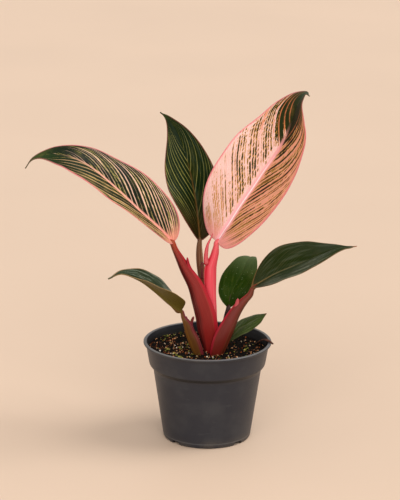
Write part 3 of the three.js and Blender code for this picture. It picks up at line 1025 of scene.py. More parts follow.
class Effects:
    """The shader groups that several finishes share, each built once."""

    def __init__(self) -> None:
        """Build every group."""
        self.veins = self._veins()
        self.grain = self._grain()
        self.striae = self._striae()

    @staticmethod
    def _veins() -> ShaderGraph:
        """Strips between lateral veins: how dark each is along its run, and the lines between them."""
        graph = ShaderGraph.named("Vein strips")
        vein, reach, hand = graph.inputs("Vein", "Reach", "Hand")
        count, dashes, line = graph.inputs("Count", "Dashes", "Line")
        wander = graph.noise(graph.vector(vein * 7.0, reach * 2.5, hand)) - 0.5
        phase = (vein + wander * 0.02) * count
        strip, within = phase.floor(), phase.fract()
        luck = graph.random(strip + hand * 3.7)
        edge = within.at_most(1.0 - within)
        chance = graph.random((phase + 0.5).floor() * 1.7 + hand * 5.3 + 0.5)
        fray = graph.noise(graph.vector(reach * 30.0, phase * 1.3, hand))
        gap = edge.smooth(line * (0.35 + chance) * (0.4 + fray * 1.2), 0.0)
        dash_at = graph.vector(reach * dashes + luck * 40.0, strip * 3.7 + within * 0.5, hand)
        graph.outputs(
            line=gap,
            luck=luck,
            chance=chance,
            dash=graph.noise(dash_at, detail=3.0, roughness=0.6),
            broad=graph.noise(graph.vector(vein * 11.0, reach * 2.2, hand)),
            core=edge.smooth(0.0, 0.42),
            main=graph.noise(graph.vector(vein * 24.0, reach * 0.6, hand + 9.0), detail=1.0),
        )
        return graph

    @staticmethod
    def _grain() -> ShaderGraph:
        """Fine and wide clouds in moulded plastic, bark and soil."""
        graph = ShaderGraph.named("Fine grain")
        scale, cloud = graph.inputs("Scale", "Cloud")
        place = graph.place()
        fine = graph.noise(place, scale, detail=3.0, roughness=0.6)
        graph.outputs(fine=fine, wide=graph.noise(place, cloud, detail=3.0, roughness=0.55))
        return graph

    @staticmethod
    def _striae() -> ShaderGraph:
        """Fine lines that run the length of a petiole, and slow changes along it."""
        graph = ShaderGraph.named("Lengthwise lines")
        share, turn = graph.input("Share"), graph.input("Turn", Kind.VECTOR)
        side, front = turn.part(0), turn.part(1)
        fine = graph.noise(graph.vector(side * 9.0, front * 9.0, share * 2.2))
        slow = graph.noise(graph.vector(side * 3.0, front * 3.0, share * 5.0), detail=3.0)
        graph.outputs(fine=fine, slow=slow)
        return graph


class Slot(Enum):
    """The record's material slots, named with the pieces."""

    POT = "pot"
    MIX = "potting_mix"
    BARK = "bark"
    PETIOLE_RED = "petiole_red"
    PETIOLE_BROWN = "petiole_brown"
    PETIOLE_PINK = "petiole_pink"
    PETIOLE_OLIVE = "petiole_olive"
    PETIOLE_RUSSET = "petiole_russet"
    BLADE_STRIPED = "blade_striped"
    BLADE_VEINED = "blade_veined"
    BLADE_PINK = "blade_pink"
    BLADE_FOLDED = "blade_folded"
    BLADE_DARK = "blade_dark"
    BLADE_SATIN = "blade_satin"


def between(share: Field, ends: Pair) -> Field:
    """The value at a share of the way from one end to the other."""
    return share * (ends[1] - ends[0]) + ends[0]


def half(colours: Halves, side: int) -> str:
    """The colour of one half of a blade: its own of a pair, or the one that both share."""
    return colours if isinstance(colours, str) else colours[side]


@dataclass(frozen=True)
class Streak:
    """One wide pale streak that follows the veins of one half of a blade."""

    right: bool
    vein: float
    width: float
    start: float = 0.0
    stop: float = 1.05

    def shown(self, vein: Field, reach: Field, right: Field) -> Field:
        """How strongly the streak shows.

        Args:
            vein: Where a point's vein leaves the rib.
            reach: How far out the point lies.
            right: 1 on the right half.

        Returns:
            The strength, from 0 to 1.
        """
        run = reach.band(self.start, self.start + 0.12, self.stop - 0.15, self.stop)
        side = right if self.right else 1.0 - right
        return ((vein - self.vein) / self.width).bell() * run * side


@dataclass(frozen=True)
class BladeFinish:
    """The looks of one blade: pale tissue that green strips between the veins break up, under streaks of
    painted sheen.

    Pairs of colours, and those of cover, strips and sheen_share, are for the left and the right half,
    seen from the base toward the tip. cap runs from base to tip and edge_cover from rib to edge. Each
    zone is a width beside the rib or the edge and how far it clears the green. line_fade and tip_veins
    are the spans over which the lines thin out and the tip turns green.
    """

    title: str
    pale: Halves
    halo: Halves
    olive: Halves
    deep: Halves
    cover: tuple[Stops, Stops]
    edge_cover: Pair = (0.0, 0.0)
    strips: Pair = (40.0, 40.0)
    dashes: float = 5.0
    contrast: float = 2.4
    patch: float = 1.2
    core_share: float = 0.3
    strip_luck: float = 0.5
    tint_share: float = 0.25
    cap: Pair = (1.0, 1.0)
    main_share: float = 0.0
    rib_zone: Pair = (0.0, 0.0)
    edge_zone: Pair = (0.0, 0.0)
    line: float = 0.22
    line_colours: Halves = "8a8a50"
    line_share: float = 0.4
    line_tip: str = ""
    line_fade: Pair = (0.55, 0.85)
    base_widening: float = 0.0
    calm_edge: float = 0.0
    flecks: float = 0.0
    tip_cover: float = 0.0
    tip_veins: Pair = (0.56, 0.68)
    rib: tuple[str, str, str] = ("e89a8a", "c08a60", "4a5a30")
    rib_width: float = 2.2
    rib_highlight: str = "f5d0c8"
    rib_highlight_share: float = 0.0
    rib_end: float = 0.7
    margin: str = "c06a60"
    margin_width: float = 0.9
    tip: str = "4a5a30"
    tip_start: float = 0.9
    tip_run: float = 0.06
    base: str = "d89a88"
    base_stop: float = 0.08
    under: str = "5c5230"
    under_share: float = 0.6
    roughness: float = 0.42
    coat: float = 0.02
    specular: float = 0.14
    # Painted sheen colour, also used for the pale flecks.
    sheen_and_flecks: str = "8c9484"
    sheen_share: Pair = (0.0, 0.0)
    streaks: tuple[Streak, ...] = ()

    def _tissue(self, paint: Paint, level: Field, side: int, tint: Field) -> Field:
        """Pale, halo, olive or deep green.

        Args:
            paint: The material.
            level: How green a point is.
            side: 0 for the left half and 1 for the right one.
            tint: Where the halo's colour spreads.

        Returns:
            The colour of that half.
        """
        pale, warm, olive, deep = (half(c, side) for c in (self.pale, self.halo, self.olive, self.deep))
        stops = ((0.0, pale), (0.28, pale), (0.38, warm), (0.64, warm), (0.74, olive), (0.84, deep))
        return paint.blend(paint.ramp(level, stops), warm, tint * self.tint_share)

    def material(self, effects: Effects) -> Material:
        """Build the material.

        Args:
            effects: The shared shader groups.

        Returns:
            The blade's material.
        """
        paint = Paint(self.title)
        share, across, vein, under, from_rib, from_edge = map(
            paint.attribute, ("share", "across", "vein", "under", "from_rib", "from_edge")
        )
        reach, right, place = abs(across), across.over(0.0), paint.place()
        sparse = share.smooth(*self.line_fade)
        line, luck, chance, dash, broad, core, main = paint.use(
            effects.veins, vein=vein, reach=reach, hand=right * 17.0, count=between(right, self.strips),
            dashes=self.dashes,
            line=(1.0 - sparse * 0.55 + share.smooth(0.45, 0.0) * self.base_widening) * self.line,
        )
        cloud = paint.noise(place, 55.0, detail=3.0)
        speck = paint.noise(place, 900.0)

        covers = [paint.ramp(share, [(t, c / 2) for t, c in stops]) for stops in self.cover]
        end = vein.smooth(*self.tip_veins) * min(self.tip_cover, 1.0)
        cover = end * self.tip_cover + paint.blend(*covers, right) * 2.0
        green = (dash - 0.5) * self.contrast + (broad - 0.5) * self.patch
        green = green + (core - 0.6) * self.core_share + (luck - 0.5) * self.strip_luck
        streaks = vein * 0.0
        for streak in self.streaks:
            streaks = streak.shown(vein, reach, right) + streaks
        streaks = streaks * dash.smooth(0.25, 0.55)
        plain = main.smooth(0.54, 0.66) * self.main_share + streaks
        calm = reach.smooth(0.7, 0.9) * share.smooth(0.5, 0.3) * (1.0 - right)
        plain = calm * self.calm_edge + plain
        fray = 0.6 + broad * 0.8
        for distance, (width, depth) in ((from_rib, self.rib_zone), (from_edge, self.edge_zone)):
            if depth:
                plain = distance.smooth(fray * (width * 1.3), fray * (width * 0.4)) * depth + plain
        level = green + cover + between(reach, self.edge_cover) - plain + (speck - 0.5) * 0.35
        level = level.at_most(between(share, self.cap) + luck * 0.3)
        tint = cloud.smooth(0.5, 0.72)
        paint.colour = paint.blend(*(self._tissue(paint, level, side, tint) for side in (0, 1)), right)

        lines = paint.blend(*(half(self.line_colours, side) for side in (0, 1)), right)
        lines = paint.blend(lines, self.base, share.smooth(0.4, 0.0) * 0.5)
        if self.line_tip:
            lines = paint.blend(lines, self.line_tip, share.smooth(0.6, 0.7))
        kept = chance.smooth(sparse * 0.9 - 0.15, sparse * 0.9) * (0.35 + chance * 0.65)
        kept = kept * (1.0 - end * 0.9)
        paint.coat(lines, line * kept * self.line_share)
        paint.coat(lines, streaks.at_most(1.0) * sparse * 0.9)
        paint.shade(speck, (0.3, 0.86), (0.7, 1.0))

        paint.coat(self.base, share.smooth(self.base_stop, 0.0) * 0.85)
        margin = from_edge.smooth(self.margin_width * 1.4, self.margin_width * 0.4)
        paint.coat(self.margin, margin * (0.55 + cloud * 0.5))
        rib_width = (1.0 - share * 0.72) * self.rib_width
        rib = from_rib.smooth(rib_width, rib_width * 0.35) * share.smooth(self.rib_end + 0.2, self.rib_end)
        paint.coat(paint.ramp(share, tuple(zip((0.0, 0.5, 0.95), self.rib))), rib)
        # Painted highlight: a near-white line along the middle of the rib toward the base.
        rib_highlight = from_rib.smooth(0.9, 0.2) * share.smooth(0.62, 0.4) * self.rib_highlight_share
        paint.coat(self.rib_highlight, rib_highlight)
        paint.coat(self.tip, share.smooth(self.tip_start, self.tip_start + self.tip_run) * 0.9)
        # Painted sheen: pale grey-green streaks that stand in for gloss on the blade, stronger on one half.
        sheen_noise = paint.noise(paint.vector(across * 9.0, share * 3.5, vein * 3.0), detail=4.0)
        painted_sheen = sheen_noise.smooth(0.48, 0.68) * share.smooth(0.02, 0.2) * between(right, self.sheen_share)
        paint.coat(self.sheen_and_flecks, painted_sheen)
        if self.flecks:
            dots = paint.noise(place, 900.0, detail=0.0)
            paint.coat(self.sheen_and_flecks, dots.smooth(0.78, 0.82) * self.flecks)
        paint.coat(self.under, under * self.under_share)
        return paint.done({
            "Roughness": self.roughness + (cloud - 0.5) * 0.16 + under * 0.14 + line * 0.05,
            "Specular IOR Level": self.specular,
            "Coat Weight": self.coat,
            "Coat Roughness": 0.3,
            "Normal": paint.bump(line * -0.6 + dash * 0.25 + speck * 0.12, 0.00035, 0.7),
        })


@dataclass(frozen=True)
class PetioleFinish:
    """The looks of a petiole: its colours round and along it, with fine lengthwise lines."""

    title: str
    front: str
    left: str
    right: str
    top: str
    foot: str
    streak: str
    sheath: str = "5c1c20"
    streak_share: float = 0.35
    top_start: float = 0.7
    foot_stop: float = 0.12
    left_from: float = -0.3
    right_from: float = 0.45
    roughness: float = 0.4

    def material(self, effects: Effects) -> Material:
        """Build the material.

        Args:
            effects: The shared shader groups.

        Returns:
            The petiole's material.
        """
        paint = Paint(self.title, self.front)
        share, turn = paint.attribute("share"), paint.attribute("turn", "Vector")
        fine, slow = paint.use(effects.striae, share=share, turn=turn)
        uneven = slow - 0.5
        side = turn.part(0) + uneven * 0.35
        paint.coat(self.left, side.smooth(self.left_from, self.left_from - 0.35))
        paint.coat(self.right, side.smooth(self.right_from, self.right_from + 0.2))
        paint.coat(self.streak, fine.smooth(0.5, 0.75) * self.streak_share)
        paint.coat(self.top, (share + uneven * 0.2).smooth(self.top_start, 1.0))
        paint.coat(self.foot, (share + uneven * 0.08).smooth(self.foot_stop, 0.0))
        return paint.done({
            "Roughness": self.roughness + (fine - 0.5) * 0.25,
            "Specular IOR Level": 0.3,
            "Coat Weight": 0.05,
            "Coat Roughness": 0.25,
            "Normal": paint.bump(fine + slow * 0.6, 0.0004, 0.6),
        })


@dataclass(frozen=True)
class PlasticFinish:
    """Thin moulded nursery plastic: satin, with a faint grain, handling marks, soil dust, painted shade at
    the bottom edge, under the step and on the inner wall, and painted highlights on the lip and above the
    foot.

    The bands are heights on the pot in metres, at which a mark starts, is full, fades and ends. The
    inner wall shows by its radius, less the wall's slope times the height.
    """

    title: str = "Nursery pot plastic"
    body: str = "252831"
    # The darkest colour is painted shade, for the bottom edge and under the collar's step.
    painted_shade: str = "08090b"
    # Colour of the painted shade on the inner wall.
    inner_shade: str = "0d0b0a"
    worn: str = "3c3e42"
    dust: str = "6e6250"
    # edge is the colour of the painted highlights on the lip and above the foot.
    edge: str = "7c7e82"
    roughness: float = 0.42
    step_shade_band: tuple[float, float, float, float] = (0.0674, 0.0688, 0.0708, 0.0722)
    foot_highlight_band: tuple[float, float, float, float] = (0.0038, 0.0042, 0.0047, 0.0052)
    inner_shade_band: tuple[float, float, float, float] = (0.0738, 0.0742, 0.088, 0.0925)
    lip_highlight: Pair = (0.0927, 0.0932)
    inner_wall: Pair = (0.04215, 0.04185)
    wall_slope: float = 0.1667

    def material(self, effects: Effects) -> Material:
        """Build the material.

        Args:
            effects: The shared shader groups.

        Returns:
            The pot's material.
        """
        paint = Paint(self.title, self.body)
        fine, wide = paint.use(effects.grain, scale=1500.0, cloud=38.0)
        place = paint.place()
        x, y, height = (place.part(axis) for axis in range(3))
        marks = paint.noise(paint.vector(x * 60.0, y * 60.0, height * 260.0), detail=4.0, roughness=0.65)
        paint.coat(self.worn, wide.smooth(0.42, 0.72) * 0.5)
        paint.coat(self.worn, marks.smooth(0.58, 0.74) * 0.45)
        # Painted highlights: a light line along the lip's top and a faint light ring above the foot.
        paint.coat(self.edge, height.smooth(*self.lip_highlight) * 0.6)
        paint.coat(self.edge, height.band(*self.foot_highlight_band) * (0.16 + wide * 0.2))
        # Painted shade: a dark line at the very bottom and a dark line under the collar's step.
        painted_shade = height.smooth(0.0012, 0.0004) + height.band(*self.step_shade_band)
        paint.coat(self.painted_shade, painted_shade * 0.85)
        # Painted shade: the inner wall between the mix and the lip is darkened.
        inside = ((x * x + y * y) ** 0.5 - height * self.wall_slope).smooth(*self.inner_wall)
        paint.coat(self.inner_shade, inside * height.band(*self.inner_shade_band) * (0.7 + wide * 0.3))
        low = height.smooth(0.012, 0.0) * 0.5 + height.smooth(0.0905, 0.0925) * 0.25
        dust = low * fine.smooth(0.35, 0.65) * wide.smooth(0.3, 0.6)
        paint.coat(self.dust, dust)
        return paint.done({
            "Roughness": self.roughness + (wide - 0.5) * 0.22 + marks.smooth(0.55, 0.75) * 0.15 + dust * 0.3,
            "Specular IOR Level": 0.35,
            "Normal": paint.bump(fine + wide * 0.8, 0.00015, 0.5),
        })


@dataclass(frozen=True)
class MixFinish:
    """Peaty potting mix: near black, crumbly and matt, with brown flecks."""

    title: str = "Peaty mix"
    dark: str = "070504"
    brown: str = "18100b"
    fleck: str = "6a4a30"

    def material(self, effects: Effects) -> Material:
        """Build the material.

        Args:
            effects: The shared shader groups.

        Returns:
            The mix's material.
        """
        paint = Paint(self.title, self.dark)
        fine, wide = paint.use(effects.grain, scale=1100.0, cloud=240.0)
        paint.coat(self.brown, wide.smooth(0.42, 0.7))
        paint.coat(self.fleck, fine.smooth(0.64, 0.72) * 0.6)
        rough, normal = 0.88 + (fine - 0.5) * 0.2, paint.bump(fine * 0.6 + wide, 0.0012)
        return paint.done({"Specular IOR Level": 0.1, "Roughness": rough, "Normal": normal})


@dataclass(frozen=True)
class GrainFinish:
    """What lies on the mix: each grain has its own tone between three colours, and a fine mottle."""

    title: str
    tones: tuple[str, str, str]
    roughness: float = 0.85
    mottle: float = 0.4

    def material(self, effects: Effects) -> Material:
        """Build the material.

        Args:
            effects: The shared shader groups.

        Returns:
            The grains' material.
        """
        paint = Paint(self.title)
        fine, wide = paint.use(effects.grain, scale=1600.0, cloud=420.0)
        paint.colour = paint.ramp(paint.attribute("tone"), tuple(zip((0.1, 0.5, 0.9), self.tones)))
        paint.shade(wide, (0.3, 1.0 - self.mottle), (0.65, 1.0))
        rough, normal = self.roughness + (fine - 0.5) * 0.2, paint.bump(fine, 0.0004)
        return paint.done({"Specular IOR Level": 0.15, "Roughness": rough, "Normal": normal})


@dataclass(frozen=True)
class WoodFinish:
    """Bark and the woody crown: fibres of two browns with pale scuffs."""

    title: str
    dark: str
    light: str
    scuff: str
    fibre: Triple = (500.0, 500.0, 90.0)

    def material(self, effects: Effects) -> Material:
        """Build the material.

        Args:
            effects: The shared shader groups.

        Returns:
            The wood's material.
        """
        paint = Paint(self.title, self.dark)
        fine, wide = paint.use(effects.grain, scale=1300.0, cloud=120.0)
        place = paint.place()
        fibres_at = paint.vector(*(place.part(axis) * self.fibre[axis] for axis in range(3)))
        strands = paint.noise(fibres_at, detail=4.0, roughness=0.6)
        paint.coat(self.light, strands.smooth(0.36, 0.62))
        paint.coat(self.scuff, fine.smooth(0.56, 0.7) * wide * 0.7)
        normal = paint.bump(strands + fine * 0.4, 0.0006)
        return paint.done({"Roughness": 0.78 + (wide - 0.5) * 0.3, "Normal": normal})


@dataclass(frozen=True)
class Frond:
    """One petiole with its blade, in the values that the solids are made from.

    Stations are x, y, z and half width, from the blade down to the crown for the stalk and upward
    for a sheath tip. Roll, fold and curl are degrees at the base, the middle and the tip. Powers
    shape the outline at the base and the tip. Veins are the slope, the bend and the bend's power of
    the left and the right half.
    """

    number: int
    slots: tuple[Slot, Slot]
    stalk: tuple[Station, ...]
    spine: tuple[Triple, ...]
    half_width: float
    powers: Pair
    base_share: float
    tail_share: float
    lobe: float
    roll: Triple
    fold: Triple
    curl: Triple
    wave: float
    veins: tuple[Triple, Triple]
    pleats: float
    pleat: float
    sheath_tips: tuple[tuple[Station, ...], ...] = ()
    tongue: float = 0.0
    face: Triple = FORWARD


FRONDS = (
    Frond(
        number=1, slots=(Slot.PETIOLE_RED, Slot.BLADE_STRIPED), half_width=30.7, powers=(0.61, 1.26),
        base_share=0.07, tail_share=0.62, lobe=1, roll=(30, 51, 16), fold=(43, 16, -5), curl=(4, -6, -39),
        wave=0.7, veins=((0.34, 0.1, 4), (0.32, 0.12, 6)), pleats=26, pleat=0.22,
        stalk=(
            (-33.2, -2, 188.6, 2.6), (-30.5, -2.7, 182, 2.9), (-25.5, -3.6, 172.5, 4.1),
            (-20.5, -4.2, 163, 5.3), (-12, -5, 149, 7.1), (-6.5, -6, 134.5, 8.7), (-2, -5.8, 120, 9.7),
            (0, -5.6, 108, 9.8), (1.4, -5.2, 98, 8.6), (1.9, -4.6, 88, 6.1), (1.6, -4, 82, 4.5),
            (1.5, -3.4, 77, 3.8),
        ),
        spine=(
            (-33, -2, 189.5), (-46.5, -2, 203.5), (-63, -3, 219), (-81.5, -4, 237.5), (-99.5, -6, 254.5),
            (-114, -8, 265.5), (-130, -10, 272.5), (-148, -13, 274), (-160, -15, 270.5),
            (-167, -16, 261.5),
        ),
        sheath_tips=(
            (
                (-14.8, -5, 154, 3.2), (-17, -5, 162.5, 2.8), (-18.5, -4.8, 168, 1.9),
                (-19.1, -4.7, 173, 1.1), (-19.5, -4.6, 175.6, 0.4),
            ),
        ),
    ),
    Frond(
        number=2, slots=(Slot.PETIOLE_BROWN, Slot.BLADE_VEINED), half_width=29.25, powers=(0.74, 1.35),
        base_share=0.04, tail_share=0.08, lobe=1.4, roll=(23, -3, -24), fold=(38, 31, 1),
        curl=(4, 1, -12), wave=0.6, veins=((0.54, 0.1, 4),) * 2, pleats=22, pleat=0.3,
        stalk=(
            (-8, 18, 185.4, 2.1), (-8.3, 17.3, 179.1, 2.7), (-8, 16.4, 170.7, 3.3), (-7, 15, 159.4, 3.4),
            (-4.5, 12.7, 143.5, 3.2), (-1, 10.8, 126.5, 3.2), (2, 9.8, 108, 3.3), (3, 9, 91.5, 3.3),
            (3, 8.6, 77, 3.3),
        ),
        spine=(
            (-8, 18, 186.5), (-9.5, 25, 201.7), (-11.5, 32, 217.2), (-14.5, 38, 233), (-18.5, 42, 250.5),
            (-23, 46, 265.5), (-29.5, 51, 280.5), (-38, 55, 293), (-46, 58, 299),
        ),
        sheath_tips=(
            (
                (-5.6, 11, 150, 2.2), (-5.5, 11.3, 159.5, 2.3), (-5.3, 11.4, 164.6, 1.8),
                (-5, 11.5, 166.8, 0.5),
            ),
        ),
    ),
    Frond(
        number=3, slots=(Slot.PETIOLE_PINK, Slot.BLADE_PINK), half_width=41.3, powers=(0.46, 0.62),
        base_share=0.18, tail_share=0.2, lobe=0.7, roll=(-50, -27, -80), fold=(11, 26, 0),
        curl=(-8, -8, -10), wave=0.8, veins=((0.345, 0.03, 4), (0.4, 0.12, 7)), pleats=34, pleat=0.2,
        stalk=(
            (7.8, 2, 188.2, 2.3), (7.3, 2, 184, 2.7), (6.5, 2, 178.5, 3.6), (5.3, 2, 173.5, 4),
            (3.5, 2, 168, 4.9), (2.2, 2, 162.5, 5.7), (2, 2, 151, 5.8), (2.5, 2, 137, 5.3),
            (3.8, 2, 121, 4.8), (4.7, 2, 103, 4.5), (5.2, 2.1, 90, 4.3), (5, 2.4, 77, 3.4),
        ),
        spine=(
            (8, 2, 189), (18.6, 3, 205.3), (29, 5, 222), (39.7, 7, 237.7), (50.8, 9, 254.7),
            (62, 10, 271.2), (70.9, 10, 288.5), (77.6, 8, 308.7), (82.2, 5, 322.4), (88, 3, 328.8),
            (91.3, 2, 326.6),
        ),
        sheath_tips=(
            (
                (-1, 0.6, 166.5, 2.6), (-1.9, -0.7, 172, 2.2), (-2, -2, 177, 1.9), (-1.5, -3.2, 182, 1.7),
                (-0.5, -4.5, 187.5, 1.2), (1.5, -5.8, 192.5, 0.8), (3, -6.6, 196, 0.6),
                (4, -7.5, 199.5, 0.4),
            ),
        ),
    ),
    Frond(
        number=4, slots=(Slot.PETIOLE_OLIVE, Slot.BLADE_FOLDED), half_width=22, powers=(0.54, 1.61),
        base_share=0.05, tail_share=0, lobe=-3, roll=(94, 78, 27), fold=(35, 33, 37), curl=(-5, -10, -1),
        wave=0.4, veins=((0.5, 0.1, 4),) * 2, pleats=20, pleat=0.25,
        stalk=(
            (-24.2, -14, 125.8, 1.8), (-22.4, -13.6, 119.8, 2.3), (-18.6, -13.2, 112.8, 4.1),
            (-16.4, -12.9, 105.6, 4.6), (-13, -12.6, 97.5, 5.4), (-9.6, -12.1, 88.6, 5.2),
            (-6.9, -11.8, 81.6, 4.2), (-4.3, -11.4, 77, 3.1),
        ),
        spine=(
            (-24.5, -14, 126), (-34.9, -17, 134.7), (-49, -20.5, 148.2), (-62.6, -24.5, 159.3),
            (-79, -30, 166.7), (-91.3, -34, 162.7),
        ),
        sheath_tips=(
            (
                (-17.4, -13, 111, 2), (-18.6, -13, 115.5, 1.5), (-19.4, -13, 118.3, 1),
                (-19.9, -13, 121, 0.4),
            ),
            (
                (-15, -12.4, 107.5, 2), (-15, -12.3, 112, 1.3), (-14.6, -12.2, 116, 1.4),
                (-13.5, -12.2, 119.2, 1.1), (-12.9, -12.1, 120.6, 0.4),
            ),
        ),
    ),
    Frond(
        number=5, slots=(Slot.PETIOLE_RUSSET, Slot.BLADE_DARK), half_width=26.9, powers=(0.95, 1.62),
        base_share=0, tail_share=0, lobe=4.6, roll=(-48, -58, -63), fold=(22, 17, -5), curl=(-4, -9, -26),
        wave=0.5, veins=((0.4, 0.12, 4),) * 2, pleats=22, pleat=0.3, tongue=0.035,
        stalk=(
            (41.8, -8, 147, 2), (39.3, -8.6, 141, 2.8), (34.5, -9.2, 135.8, 3.5),
            (29.3, -9.9, 129.8, 4.6), (24.5, -10.8, 122.5, 5.6), (19.6, -11.9, 113, 6.8),
            (15, -12.4, 103.3, 7.6), (11.3, -12.4, 93.5, 7.5), (8.2, -11.7, 84, 6.1),
            (5.6, -10.8, 77, 4.1),
        ),
        spine=(
            (43.5, -8, 150), (61, -10.5, 161.5), (79, -14, 171), (97.5, -19, 180.5), (115.5, -24.5, 190),
            (135, -30, 194.5),
        ),
        sheath_tips=(
            (
                (23.3, -11, 121.8, 3.9), (25.7, -11, 126.6, 3.1), (27.2, -11, 131.5, 2.4),
                (27.7, -11, 136.4, 1.3), (27.6, -11, 138, 0.4),
            ),
        ),
    ),
    Frond(
        number=6, slots=(Slot.PETIOLE_BROWN, Slot.BLADE_SATIN), half_width=15.5, powers=(0.84, 1.8),
        base_share=0.03, tail_share=0.3, lobe=-0.4, roll=(25, 2, 0), fold=(4, 7, 6), curl=(-4, -4, -5),
        wave=0.4, veins=((0.45, 0.1, 4),) * 2, pleats=20, pleat=0.2, face=(0, -0.3, 1),
        stalk=(
            (19.4, 8, 121.6, 2.4), (18, 8, 113, 3.1), (16, 7.4, 101, 3.2), (12.6, 6.6, 89.5, 3.1),
            (10.6, 6.2, 77, 2.8),
        ),
        spine=(
            (19.5, 8, 122.5), (21.8, 12, 135.3), (27.2, 19, 145.5), (33.6, 29, 155.8), (38, 42, 161.4),
            (41.2, 56, 159.3), (41, 69, 148.2),
        ),
    ),
    Frond(
        number=7, slots=(Slot.PETIOLE_RUSSET, Slot.BLADE_DARK), half_width=11, powers=(1.07, 0.87),
        base_share=0.04, tail_share=0.24, lobe=0.7, roll=(-41, -54, -58), fold=(10, 5, 1),
        curl=(2, -18, -17), wave=0.2, veins=((0.45, 0.1, 4),) * 2, pleats=16, pleat=0.15,
        stalk=(
            (16.2, 3.8, 88, 1.4), (13.6, 1.6, 84, 1.8), (11.4, -1, 80.6, 2), (10.6, -2, 77, 2),
        ),
        spine=((16.5, 4, 88.5), (27, 6.5, 100.5), (41, 11, 109), (55.5, 15, 115.5)),
    ),
)


